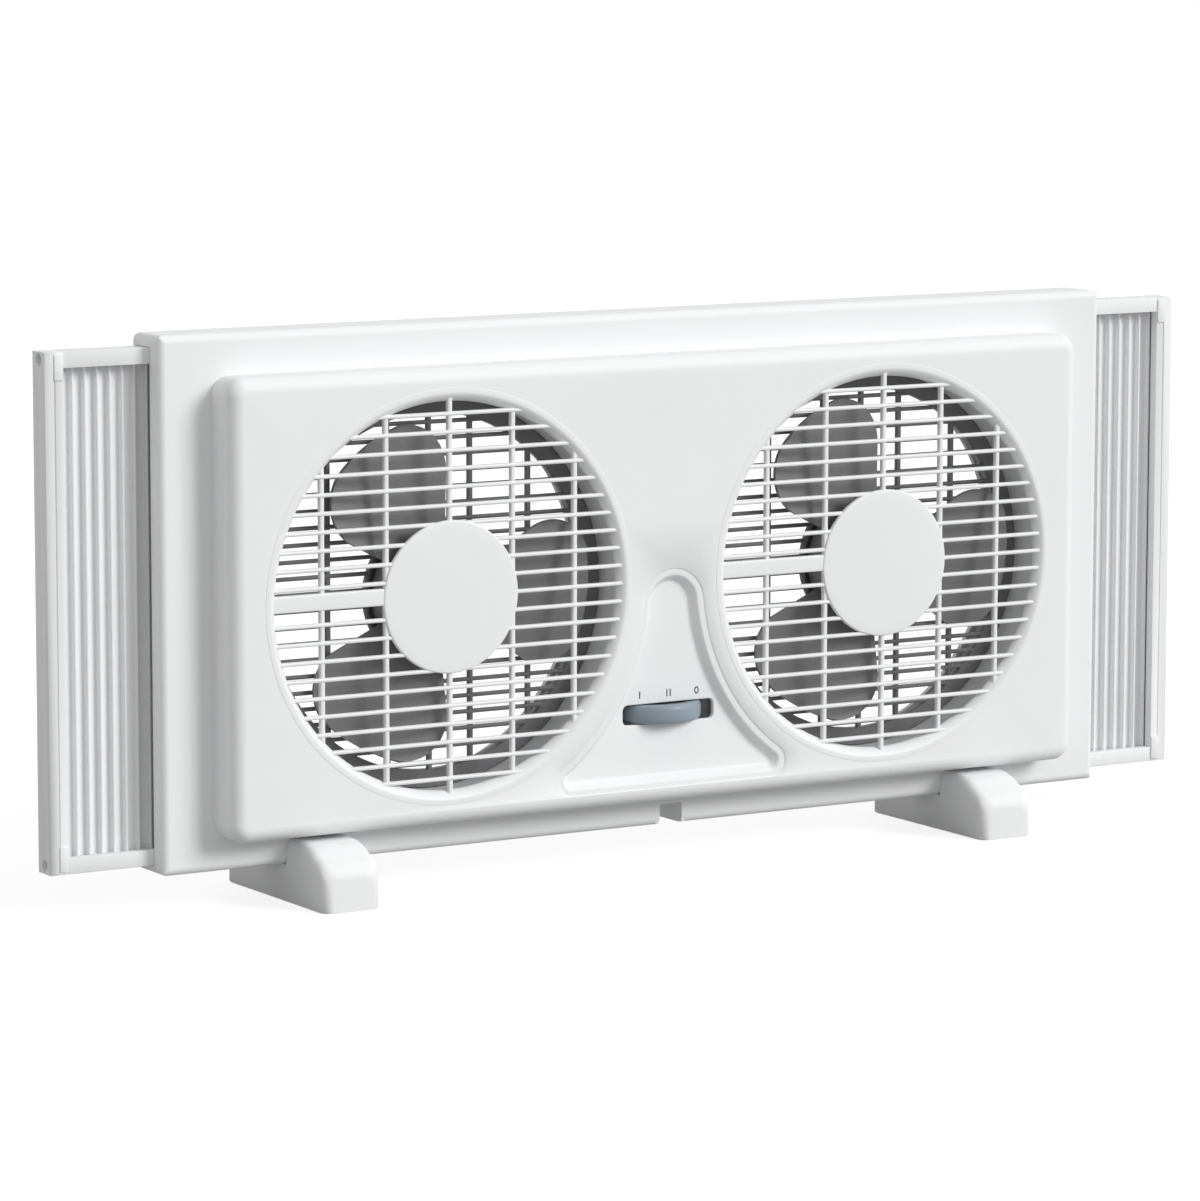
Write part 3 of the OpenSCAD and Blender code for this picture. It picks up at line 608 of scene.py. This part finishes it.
@dataclass
class FrontCover(Assembly):
    """Raised cover with soft edges, two round holes and the sunk three-cornered switch panel."""

    edge_r: float = 8.0
    corner_r: float = 10.0
    hole_r: float = 110.0
    hole_steps: int = 144
    recess_low: float = 54.0
    side_r: float = 129.0
    lip_out: float = 9.6
    lip_in: float = 1.2
    lip_end: float = 0.1
    ledge_end: float = 0.4
    lip_slope: float = 0.9
    ledge_slope: float = 0.1
    bank_slope: float = 1.6
    bank_power: float = 1.2
    slot_half_w: float = 29.0
    slot_half_h: float = 5.5
    slot_r: float = 3.0
    slot_edge_r: float = 0.8
    slot_z: float = 85.5
    arch_z: float = 145.8
    arch_r: float = 10.2
    boss_x: Pair = (-258.0, 258.0)
    boss_z: Pair = (47.5, 270.5)
    top_boss_x: Pair = (-22.0, 22.0)
    top_boss_z: float = 250.0
    boss_in_r: float = 1.5
    boss_out_r: float = 3.9
    boss_front: float = 2.1
    boss_back: float = 0.2
    boss_cut: float = 0.4
    sharp: float = 50.0
    mark = MarkShape()

    def recess(self) -> Outline:
        """Outline the sunk panel.

        Its hollow sides are circles of side_r about the fan axes and its arch one of arch_r. The
        normals turn through the lower corners, so that it grows evenly.

        Returns:
            The outline, from the lower right corner.
        """
        at = self.layout
        drop = at.fan_z - self.recess_low
        corner_x = at.fan_x - math.sqrt(self.side_r ** 2 - drop ** 2)
        low = math.degrees(math.atan2(drop, at.fan_x - corner_x))
        high = math.degrees(math.atan2(at.fan_z - self.arch_z, at.fan_x))
        turn = np.linspace(-90, low, 22)
        side = np.linspace(low, high, 26)[1:]
        arch = np.linspace(high, 180 - high, 34)[1:-1]
        right = arc((at.fan_x, at.fan_z), self.side_r, 180 + low, 180 + high, 26)[1:]
        top = arc((0.0, self.arch_z), self.arch_r, high, 180 - high, 34)[1:-1]
        return joined([(np.array([[corner_x, self.recess_low]]), turn), (right, side), (top, arch),
                       (right[::-1] * [-1, 1], 180 - side[::-1]),
                       (np.array([[-corner_x, self.recess_low]]), 180 - turn[::-1])])

    def step_profile(self) -> tuple[Array, Array]:
        """Profile the step into the sunk panel.

        A short steep edge and a nearly flat ledge come first; after ledge_end the slope grows and dies
        away as a sine. The slope's sum is brought to the panel's depth.

        Returns:
            Growth and y of each point.
        """
        at = self.layout
        t = np.linspace(0, 1, 41)
        late = np.clip((t - self.ledge_end) / (1 - self.ledge_end), 0, 1)
        slope = np.where(t < self.lip_end, self.lip_slope, self.ledge_slope)
        slope = slope + self.bank_slope * np.sin(np.pi * late) ** self.bank_power
        slope = slope - self.ledge_slope * late
        depth = np.append(0, np.cumsum((slope[1:] + slope[:-1]) / 2))
        depth = depth / depth[-1] * (at.recess_y - at.cover_y)
        return self.lip_out + (self.lip_in - self.lip_out) * t, at.cover_y + depth

    def shell(self) -> None:
        """Build the cover as one sheet and give it its wall."""
        at = self.layout
        outer = rounded_box((0.0, at.cover_z + at.cover_h / 2), at.cover_w / 2 - self.corner_r,
                            at.cover_h / 2 - self.corner_r, 17)
        bend = np.radians(np.linspace(0, 90, 13))
        grow = np.append(self.corner_r - self.edge_r + self.edge_r * np.sin(bend), self.corner_r)
        depth = np.append(at.cover_y + self.edge_r * (1 - np.cos(bend)), at.front_y)
        recess = self.recess()
        slot = rounded_box((0.0, self.slot_z), self.slot_half_w - self.slot_r,
                           self.slot_half_h - self.slot_r, 9)
        lip = np.radians(np.linspace(0, 90, 5))
        slot_grow = np.append(self.slot_r + self.slot_edge_r * (1 - np.sin(lip)), self.slot_r)
        slot_y = np.append(at.recess_y + self.slot_edge_r * (1 - np.cos(lip)), at.recess_y + at.wall)
        holes = [arc((side.value * at.fan_x, at.fan_z), self.hole_r, 0, 360, self.hole_steps + 1)[:-1]
                 for side in Side]
        parts = MeshParts()
        for surface in (outer.strip(grow, depth),
                        flat_region(outer.at(grow[0]), [*holes, recess.at(self.lip_out)], at.cover_y),
                        recess.strip(*self.step_profile()),
                        flat_region(recess.at(self.lip_in), [slot.at(slot_grow[0])], at.recess_y),
                        slot.strip(slot_grow, slot_y)):
            parts.add(surface)
        cover = parts.make("front_cover_shell", merge=2 * WELD, sharp=self.sharp)
        face_front(cover)
        with_settings(cover.modifiers.new("wall", "SOLIDIFY"), thickness=at.wall * MM, offset=-1)
        bake(cover, self.sharp)
        self.settle(cover, Body.HOUSING, Finish.HOUSING, "housing_plastic", "front_cover")

    def bosses(self) -> None:
        """Build the tubes behind the cover that its screws bite into."""
        at = self.layout
        places = [(x, z) for x in self.boss_x for z in self.boss_z]
        places += [(x, self.top_boss_z) for x in self.top_boss_x]
        low, high = at.cover_y + self.boss_front, at.front_y - self.boss_back
        near, far, cut = self.boss_in_r, self.boss_out_r, self.boss_cut
        tube = np.array([[near, low], [far, low], [far, high - cut], [far - cut, high],
                         [near + cut, high], [near, high - cut]])
        parts = MeshParts()
        for x, z in places:
            parts.add(turned(tube, 24), (x, 0, z))
        bosses = parts.make("front_cover_bosses", merge=2 * WELD)
        self.settle(bosses, Body.HOUSING, Finish.HOUSING, "housing_plastic", "front_cover")

    def marks(self) -> None:
        """Build the three printed switch marks: one bar, two bars and a ring."""
        m, recess_y = self.mark, self.layout.recess_y
        low, top = recess_y - m.out, recess_y + m.into
        parts = MeshParts()
        for x in m.bar_x:
            bar = rounded_box((x, m.z), m.core, (m.bar_h - m.bar_w) / 2, 5)
            grow = np.array([0.0, m.bar_w / 2 - m.edge, m.bar_w / 2, m.bar_w / 2])
            parts.add(bar.strip(grow, np.array([low, low, low + m.edge, top])))
        way = arc((0.0, 0.0), 1.0, 0, 360, 41)[:-1]
        ring = Outline(way * [m.ring_half_w, m.ring_half_h] + [m.ring_x, m.z], way)
        far, near = m.line_half_w, m.line_half_w - m.edge
        parts.add(ring.strip(np.array([-far, -far, -near, near, far, far]),
                             np.array([top, low + m.edge, low, low, low + m.edge, top])))
        marks = parts.make("switch_marks")
        face_front(marks)
        self.settle(marks, Body.HOUSING, Finish.INK, "switch_plastic")

    def build(self) -> None:
        """Build the cover's three pieces."""
        self.shell()
        self.bosses()
        self.marks()


@dataclass
class FrontGrille(Assembly):
    """Front grille: flared ring, soft slats, five uprights, centre disc and wiring strut."""

    slat_pitch: float = 9.75
    slat_count: int = 10
    slat_half_h: float = 1.15
    slat_half_d: float = 1.75
    slat_y: float = -33.3
    bar_half_w: float = 1.45
    bar_half_d: float = 1.6
    bar_y: float = -32.85
    bar_pitch: float = 38.5
    reach: float = 107.4
    disc_r: float = 41.0
    disc_rim_r: float = 1.1
    disc_hide: float = 39.5
    disc_sink: float = 0.3
    disc_t: float = 2.5
    disc_fall: float = 0.35
    face_r: float = 108.0
    ring_r: float = 111.5
    rim_h: float = 0.15
    spigot_r: float = 109.7
    spigot_back: float = -30.05
    spigot_cut: float = 0.4
    wall_cut: float = 0.5
    wall_pull: float = 2.1
    lip_start: float = 0.9
    lip_pull: float = 0.8
    strut_low: float = -2.0
    strut_high: float = 7.0
    strut_back: float = -31.05
    strut_end: float = -38.0

    def ring_profile(self) -> Array:
        """Profile (r, y) of the ring: a low rim, and a cubic curve from it that ends along the wall."""
        at = self.layout
        face, low = at.cover_y - self.rim_h, self.spigot_back - self.wall_cut
        rim = arc((self.ring_r - self.rim_h, at.cover_y), self.rim_h, 0, -90, 6)
        t = np.linspace(0, 1, 18)[:, None]
        ends = np.array([[self.face_r + self.lip_start, face], [self.face_r - self.lip_pull, face],
                         [at.opening_r, low - self.wall_pull], [at.opening_r, low]])
        bend = sum(math.comb(3, k) * t ** k * (1 - t) ** (3 - k) * end for k, end in enumerate(ends))
        far, back, cut = self.spigot_r, self.spigot_back, self.spigot_cut
        tube = [[at.opening_r + self.wall_cut, back], [far - cut, back], [far, back - cut],
                [far, at.cover_y]]
        return np.concatenate([rim, bend, tube])

    def disc_profile(self) -> Array:
        """Profile (r, y) of the disc: its face falls by the square of the radius to a soft rim."""
        at = self.layout
        front, rim = at.cover_y + self.disc_sink, self.disc_rim_r
        back = front + self.disc_t
        r = np.linspace(0, self.disc_r - rim, 9)
        face = points_of(r, front + self.disc_fall * (r / self.disc_r) ** 2)
        edge = arc((self.disc_r - rim, face[-1, 1] + rim), rim, -90, 0, 7)[1:]
        return np.concatenate([face, edge, [[self.disc_r, back], [0, back]]])

    def build(self, side: Side) -> None:
        """Build one grille; its strut takes the place of the middle slat's left half."""
        z = np.arange(-self.slat_count, self.slat_count + 1) * self.slat_pitch
        slats = parted(z, self.reach, self.disc_hide, np.abs(z) < self.disc_hide)
        kept = (slats[0] != 0) | (slats[1] > 0)
        x = np.arange(-2, 3) * self.bar_pitch
        strut_d = (self.strut_back - self.slat_y + self.slat_half_d) / 2
        strut = np.array([[(self.strut_high + self.strut_low) / 2], [-self.reach], [self.strut_end]])
        parts = MeshParts()
        for surface in (
                bars([a[kept] for a in slats], self.slat_y,
                     soft_section(self.slat_half_h, self.slat_half_d, 2.7, 16), 0),
                bars(parted(x, self.reach, self.disc_hide, x == 0), self.bar_y,
                     soft_section(self.bar_half_w, self.bar_half_d, 3.2, 16), 2),
                turned(self.ring_profile(), 160), turned(self.disc_profile(), 96, False),
                bars(strut, self.slat_y - self.slat_half_d + strut_d,
                     soft_section((self.strut_high - self.strut_low) / 2, strut_d, 7, 32), 0)):
            parts.add(surface, self.layout.axis(side))
        node = f"front_grille_{side.word}"
        grille = parts.make(f"{node}_moulding", sharp=45)
        self.settle(grille, Body.HOUSING, Finish.GRILLE, "grille_plastic", node)


@dataclass
class RearGrille(Assembly):
    """Rear grille: ring, slats, uprights and the dish behind the fan's hub."""

    slat_pitch: float = 8.75
    slat_count: int = 10
    lift: float = 3.6
    slat_half_h: float = 1.15
    half_d: float = 1.5
    slat_y: float = -10.55
    bar_x: tuple[float, ...] = (-61.3, -25.3, 0.0, 25.3, 61.3)
    bar_half_w: float = 1.45
    bar_y: float = -10.3
    reach: float = 96.6
    ring_r: float = 105.7
    clear_r: float = 96.0
    ring_back: float = -6.05
    edge: float = 0.5
    dish_r: float = 39.5
    dish_hide: float = 38.5
    dish_y: float = -8.45
    dish_back: float = -6.65
    dish_wall: float = 1.8
    dish_rim_r: float = 1.6
    dish_cut: float = 0.3
    swell_h: float = 0.45
    swell_w: float = 1.6
    swell_r: Pair = (30.0, 18.0)

    def ring_profile(self) -> Array:
        """Profile the ring, a closed rectangle (r, y) with cut corners."""
        near, far, cut = self.clear_r, self.ring_r, self.edge
        front, back = self.slat_y - self.half_d, self.ring_back
        return np.array([[near, front + cut], [near + cut, front], [far - cut, front],
                         [far, front + cut], [far, back - cut], [far - cut, back], [near + cut, back],
                         [near, back - cut]])

    def dish_profile(self) -> Array:
        """Profile (r, y) of the dish: an open cup with two low rings raised on its floor."""
        front, cut, rim_r = self.slat_y - self.half_d, self.dish_cut, self.dish_rim_r
        inner = self.dish_r - self.dish_wall
        low = self.dish_back - self.swell_h
        r = np.linspace(self.dish_r - 1.5 * rim_r, 0, 40)
        swell = sum(np.exp(-((r - middle) / self.swell_w) ** 2) for middle in self.swell_r)
        back = points_of(r, low + self.swell_h * swell)
        rim = arc((self.dish_r - rim_r, low - rim_r), rim_r, 0, 80, 6)
        head = [[0, self.dish_y], [inner, self.dish_y], [inner, front + cut], [inner + cut, front],
                [self.dish_r - cut, front], [self.dish_r, front + cut]]
        return np.concatenate([head, rim, back])

    def build(self, side: Side) -> None:
        """Build one rear grille."""
        z = np.arange(-self.slat_count - 1, self.slat_count + 1) * self.slat_pitch + self.lift
        x = np.array(self.bar_x)
        parts = MeshParts()
        for place, depth, section, along in (
                (z, self.slat_y, soft_section(self.slat_half_h, self.half_d, 3, 12), 0),
                (x, self.bar_y, soft_section(self.bar_half_w, self.half_d, 4, 12), 2)):
            spans = parted(place, self.reach, self.dish_hide, np.abs(place) < self.dish_hide)
            parts.add(bars(spans, depth, section, along), self.layout.axis(side))
        parts.add(turned(self.ring_profile(), 144), self.layout.axis(side))
        parts.add(turned(self.dish_profile(), 96, False), self.layout.axis(side))
        node = f"rear_grille_{side.word}"
        grille = parts.make(f"{node}_moulding", sharp=45)
        self.settle(grille, Body.HOUSING, Finish.REAR_GRILLE, "rear_grille_plastic", node)


@dataclass
class Fan(Assembly):
    """Fan: cup hub and three broad blades with round corners."""

    blade_angles: Triple = (0.0, 120.0, 240.0)
    tip_r: float = 92.35
    round_r: float = 92.5
    root_r: float = 34.5
    half_angle: float = 34.0
    corner_r: float = 24.0
    pitch: float = 8.2
    plane_y: float = -21.55
    thickness: float = 1.8
    camber: float = 1.1
    edge_r: float = 0.6
    hub_r: float = 36.0
    hub_rim_r: float = 2.0
    cup_in_r: float = 33.0
    cup_y: float = -28.55
    cup_back: float = -11.15
    floor_t: float = 2.4
    boss_r: float = 6.0
    boss_y: float = -15.95
    bore_r: float = 3.02
    dimple: float = 0.5
    dimple_r: float = 10.0
    cut: float = 0.4
    fillet: float = 0.6
    crowding: float = 1.8
    root_camber: float = 0.3

    def hub_profile(self) -> Array:
        """Profile (r, y) of the cup hub: outer wall, back with a soft rim, bore, boss, inner wall."""
        back, rim = self.cup_back, self.hub_rim_r
        floor, cup, boss, bore = back - self.floor_t, self.cup_in_r, self.boss_r, self.bore_r
        hub, dip, cut, soft = self.hub_r, self.dimple, self.cut, self.fillet
        return np.concatenate([
            [[cup, floor - soft], [cup, self.cup_y + cut], [cup + cut, self.cup_y],
             [hub - dip, self.cup_y], [hub, self.cup_y + dip]],
            arc((hub - rim, back - rim), rim, 0, 90, 7),
            [[self.dimple_r, back], [self.dimple_r - 2 * dip, back - dip], [bore + cut, back - dip],
             [bore, back - cut / 2], [bore, self.boss_y], [boss - cut, self.boss_y],
             [boss, self.boss_y + cut], [boss, floor - soft], [boss + soft, floor],
             [cup - soft, floor]]])

    def blade(self, angle: float) -> Surface:
        """Make the middle surface of one blade, a sector with two round corners.

        Beyond the radius where the corner's circle meets the side, the half angle is the circle's;
        its centre lies corner_r inside round_r and the side. The blade bows back by camber times one
        half less the square of its place across, tilts by its pitch about X and turns by its angle.

        Args:
            angle: angle of its middle from the right, in degrees.

        Returns:
            Points and faces.
        """
        rows, cols = 40, 25
        u = np.linspace(0, 1, rows)[:, None]
        r = self.root_r + (self.tip_r - self.root_r) * (1 - (1 - u) ** self.crowding)
        centre = self.round_r - self.corner_r
        lean = math.asin(self.corner_r / centre)
        turn = np.arccos(np.clip((r ** 2 + centre ** 2 - self.corner_r ** 2) / (2 * r * centre), -1, 1))
        full = math.radians(self.half_angle)
        half = np.where(r > centre * math.cos(lean), full - lean + turn, full)
        v = np.sin(np.linspace(-1, 1, cols) * np.pi / 2)
        x, z = r * np.cos(half * v), r * np.sin(half * v)
        share = self.root_camber + (1 - self.root_camber) * u
        y = self.plane_y - self.camber * (v ** 2 - 0.5) * share
        y, z = tilted(y, z, self.pitch)
        x, z = tilted(x, z, angle)
        return points_of(x, y, z).reshape(-1, 3), grid_faces(rows, cols)

    def build(self, side: Side) -> None:
        """Build one fan: its hub and its blades."""
        place = self.layout.axis(side)
        body = Body[f"{side.name}_FAN"]
        node = f"fan_{side.word}"
        hub = MeshParts().add(turned(self.hub_profile(), 96), place)
        self.settle(hub.make(f"{node}_hub", sharp=40), body, Finish.FAN, "fan_plastic", node)
        parts = MeshParts()
        for angle in self.blade_angles:
            parts.add(self.blade(angle), place)
        blades = parts.make(f"{node}_blades", merge=0, sharp=60)
        with_settings(blades.modifiers.new("wall", "SOLIDIFY"), thickness=self.thickness * MM, offset=0)
        with_settings(blades.modifiers.new("edge", "BEVEL"), width=self.edge_r * MM, segments=2,
                      angle_limit=math.radians(60))
        bake(blades, 50)
        self.settle(blades, body, Finish.FAN, "fan_plastic", node)


@dataclass
class Thumbwheel(Assembly):
    """Grey thumbwheel that stands out of the slot."""

    radius: float = 26.5
    half_t: float = 5.0
    rim_r: float = 1.6
    crown: float = 0.5
    dip: float = 0.6
    dip_w: float = 5.0
    dip_slope_w: float = 0.8
    bore_r: float = 2.52
    flat_y: float = 8.0
    y: float = -14.25
    z: float = 85.5

    def build(self) -> None:
        """Build the wheel: its profile turns about Z, and y is held at the flat."""
        edge = self.radius - self.rim_r - self.crown
        top = arc((edge, self.half_t - self.rim_r), self.rim_r, 90, 12, 8)
        t = np.linspace(0.9, -0.9, 9) * (self.half_t - self.rim_r)
        rim = points_of(self.radius - self.crown * (t / self.half_t) ** 2, t)
        floor = self.half_t - self.dip
        dip_r = edge - self.dip_w
        face = np.concatenate([[[self.bore_r, floor], [dip_r, floor],
                                [dip_r + self.dip_slope_w, self.half_t]], top])
        profile = np.concatenate([face, rim, top[::-1] * [1, -1], face[2::-1] * [1, -1]])
        points, faces = turned(profile, 144)
        x, z, y = points.T
        points = points_of(x, np.minimum(y, self.flat_y), z)
        wheel = MeshParts().add((points, faces), (0, self.y, self.z))
        made = wheel.make("switch_wheel_rim", sharp=40)
        self.settle(made, Body.THUMBWHEEL, Finish.WHEEL, "wheel_plastic", "switch_wheel")


@dataclass
class SidePanel(Assembly):
    """Sliding side panel: ribbed web, and post and rails with softened edges."""

    post_x: float = 349.0
    web_x: float = 276.0
    pitch: float = 7.1
    rib_tip: float = 1.7
    rib_foot: float = 1.8
    rib_y: float = 1.85
    web_y: float = 5.05
    back_y: float = 7.05
    low_z: float = 30.75
    high_z: float = 290.45
    ribs: int = 11
    sunk: float = 1.9
    hollow: tuple[Pair, ...] = ((0.5, 0.0), (0.12, -0.16), (0.0, -0.6))
    post_edge: float = 0.45
    rail_edge: float = 0.4

    def section(self) -> Array:
        """Section (x, y) of the web: ribs with half-round tips and hollow feet, and a straight back."""
        centre = self.post_x - self.rib_foot / 2 - np.arange(self.ribs) * self.pitch
        tip = arc((0.0, self.rib_y + self.rib_tip / 2), self.rib_tip / 2, 0, -180, 9)
        foot = np.array(self.hollow) + [self.rib_foot / 2, self.web_y]
        one = np.concatenate([foot, tip, foot[::-1] * [-1, 1]])
        front = (points_of(centre, 0.0)[:, None] + one).reshape(-1, 2)
        end_x = self.post_x + self.sunk
        front[:, 0] = np.clip(front[:, 0], self.web_x, end_x)
        return np.concatenate([[[end_x, self.back_y], [end_x, self.web_y]], front,
                               [[self.web_x, self.back_y]]])

    def build(self, side: Side) -> None:
        """Build one side panel."""
        body = Body[f"{side.name}_PANEL"]
        x, y = self.section().T
        ends = np.array([[self.low_z], [self.high_z]])
        web = MeshParts().add_tube(points_of(x * side.value, y, ends))
        made = web.make(f"side_panel_{side.word}_ribs", sharp=50)
        self.settle(made, body, Finish.PANEL, "panel_plastic", f"side_panel_{side.word}")
        for start, width in (("end_post", self.post_edge), ("top_rail", self.rail_edge),
                             ("bottom_rail", self.rail_edge)):
            node = f"{start}_{side.word}"
            made = softened(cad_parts[node], f"{node}_soft", width)
            self.settle(made, body, Finish.PANEL, "panel_plastic", node)


@dataclass
class Foot(Assembly):
    """Foot pushed over the housing's lower edge."""

    x: float = 210.0
    half_w: float = 17.5
    half_l: float = 55.75
    nose_h: float = 22.5
    top_h: float = 34.2
    slope_y: float = 36.25
    ease: float = 6.0
    ease_h: float = 1.2
    grip_y: float = 14.42
    grip_z: float = 20.0
    grip_r: float = 0.3
    corner_r: float = 6.0
    edge_r: float = 5.5
    sole_r: float = 0.8

    def build(self, side: Side) -> None:
        """Build one foot as sections along its length.

        Each is a rectangle with round upper corners. Its half width falls by a quarter circle of
        corner_r at the ends. Its height follows the slope, falls by a quarter circle of edge_r at the
        nose, and drops to the grip under the housing.

        Args:
            side: which foot.
        """
        straight = self.half_l - self.corner_r
        end = self.half_l - self.corner_r * (1 - np.cos(np.linspace(0, np.pi / 2, 12)))
        slope = np.linspace(straight, self.slope_y, 10)[1:]
        shoulder = np.linspace(self.slope_y, self.slope_y - self.ease, 8)[1:]
        walk = np.concatenate([end, slope, shoulder, [self.grip_y, self.grip_y]])
        y = np.concatenate([-walk, walk[::-1]])[:, None]
        tall = np.ones(y.shape, bool)
        tall[[len(walk) - 1, len(walk)]] = False
        far = np.abs(y)
        into = np.clip(far - straight, 0, self.corner_r)
        half = self.half_w - self.corner_r + np.sqrt(self.corner_r ** 2 - into ** 2)
        rise = (self.top_h - self.nose_h) / (self.half_l - self.slope_y)
        line = np.minimum(self.top_h, self.nose_h + (self.half_l - far) * rise)
        line = line - self.ease_h * np.clip(1 - np.abs(far - self.slope_y) / self.ease, 0, 1) ** 2
        nose = np.clip(far - (self.half_l - self.edge_r), 0, self.edge_r)
        top = np.where(tall, line - (self.edge_r - np.sqrt(self.edge_r ** 2 - nose ** 2)), self.grip_z)
        r = np.where(tall, self.edge_r, self.grip_r)
        a = np.radians(np.linspace(0, 90, 8))
        x = np.hstack([half - self.sole_r, half, half - np.minimum(r, half - 0.5) * (1 - np.cos(a))])
        z = np.hstack([0 * half, 0 * half + self.sole_r, top - r * (1 - np.sin(a))])
        x, z = np.hstack([x, -x[:, ::-1]]), np.hstack([z, z[:, ::-1]])
        foot = MeshParts().add_tube(points_of(x + side.value * self.x, y, z))
        made = foot.make(f"foot_{side.word}_moulding", sharp=55)
        self.settle(made, Body.HOUSING, Finish.HOUSING, "housing_plastic", f"foot_{side.word}")


class Solids:
    """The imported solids, and the starts of their names by the finish that they wear."""

    worn = {
        Finish.HOUSING: ("main_frame", "back_cover", "front_cover", "foot"),
        Finish.PANEL: ("end_post", "side_panel", "top_rail", "bottom_rail"),
        Finish.GRILLE: ("front_grille",),
        Finish.REAR_GRILLE: ("rear_grille",),
        Finish.FAN: ("fan_left", "fan_right"),
        Finish.WHEEL: ("switch_wheel",),
        Finish.SWITCH: ("switch_body",),
        Finish.RUBBER: ("cord_grommet",),
        Finish.LEAD: ("motor_leads",),
        Finish.CASE: ("motor_case", "motor_cap"),
        Finish.CORE: ("stator", "rotor"),
        Finish.SHAFT: ("motor_shaft", "switch_spindle"),
        Finish.BRASS: ("motor_bushes",),
        Finish.SCREW: ("fan_nut", "switch_screws", "motor_screws", "cover_screws", "back_screws",
                       "post_screws"),
    }

    def dress(self) -> None:
        """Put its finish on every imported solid."""
        for name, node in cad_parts.items():
            dress(node, next(f for f, starts in self.worn.items() if name.startswith(starts)))


# ---- studio


@dataclass
class Studio:
    """Floor, light and camera of the photograph."""

    camera_place: Triple = (-1.5393, -2.4921, 0.5435)
    camera_turn: Triple = (82.22, -0.09, -31.27)
    lens: float = 161.4
    sky: float = 0.57
    key: float = 2.08
    key_from: Triple = (0.54, -0.7, 0.46)
    key_soft: float = 26.0
    floor_tone: float = 0.38
    floor_glow: float = 0.78
    floor_half: float = 60000.0
    floor_z: float = -0.3

    def camera(self) -> None:
        """Place the camera where the perspective of the photograph puts it."""
        data = with_settings(bpy.data.cameras.new("camera"), lens=self.lens, sensor_width=36,
                             clip_end=200)
        turn = Euler([math.radians(a) for a in self.camera_turn], "XYZ")
        bpy.context.scene.camera = with_settings(placed("camera", data), location=self.camera_place,
                                                 rotation_euler=turn)

    def looked_at(self, w: NodeWriter) -> Socket:
        """Give 1 for camera, glossy and transmission rays, which show a surface, else 0."""
        seen = w.add("LightPath").outputs
        direct = w.maths("MAXIMUM", seen["Is Camera Ray"], seen["Is Glossy Ray"])
        return w.maths("MAXIMUM", direct, seen["Is Transmission Ray"])

    def lights(self) -> None:
        """Light the object with an even sky, white where it is seen, and one large soft lamp."""
        world = bpy.data.worlds.new("studio")
        bpy.context.scene.world = world
        world.use_nodes = True
        w = NodeWriter(world.node_tree)
        sky = world.node_tree.nodes["Background"]
        w.give(sky, {"Color": WHITE, "Strength": self.sky})
        white = w.add("Background", {"Color": WHITE, "Strength": 1.0})
        mix = w.add("MixShader", {0: self.looked_at(w), 1: sky.outputs[0], 2: white.outputs[0]})
        w.give(world.node_tree.nodes["World Output"], {"Surface": mix.outputs[0]})
        lamp = with_settings(bpy.data.lights.new("key", "SUN"), energy=self.key,
                             angle=math.radians(self.key_soft))
        placed("key", lamp).rotation_euler = Vector(self.key_from).to_track_quat("Z", "Y").to_euler()

    def floor(self) -> None:
        """Lay a pale floor that is nearly white to the camera and keeps the object's shadow."""
        line = np.linspace(-self.floor_half, self.floor_half, 3)
        points = points_of(line, line[:, None], self.floor_z).reshape(-1, 3)
        floor = MeshParts().add((points, grid_faces(3, 3))).make("floor", merge=0)
        material = bpy.data.materials.new("pale_floor")
        material.use_nodes = True
        w = NodeWriter(material.node_tree)
        tone = self.floor_tone
        w.give(material.node_tree.nodes["Principled BSDF"],
               {"Base Color": (tone, tone, tone, 1), "Roughness": 0.9, "Specular IOR Level": 0.0,
                "Emission Color": WHITE,
                "Emission Strength": w.maths("MULTIPLY", self.looked_at(w), self.floor_glow)})
        floor.data.materials.append(material)

    def build(self) -> None:
        """Set up the camera, lights and floor, and show colours plainly."""
        self.camera()
        self.lights()
        self.floor()
        bpy.context.scene.view_settings.view_transform = "Standard"


def main() -> None:
    """Build every sub-assembly in order."""
    logging.basicConfig(level=logging.INFO, format="%(message)s")
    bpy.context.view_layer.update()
    Solids().dress()
    FrontCover().build()
    Thumbwheel().build()
    for side in Side:
        for kind in (FrontGrille, RearGrille, Fan, SidePanel, Foot):
            kind().build(side)
    Studio().build()


if __name__ == "__main__":
    main()
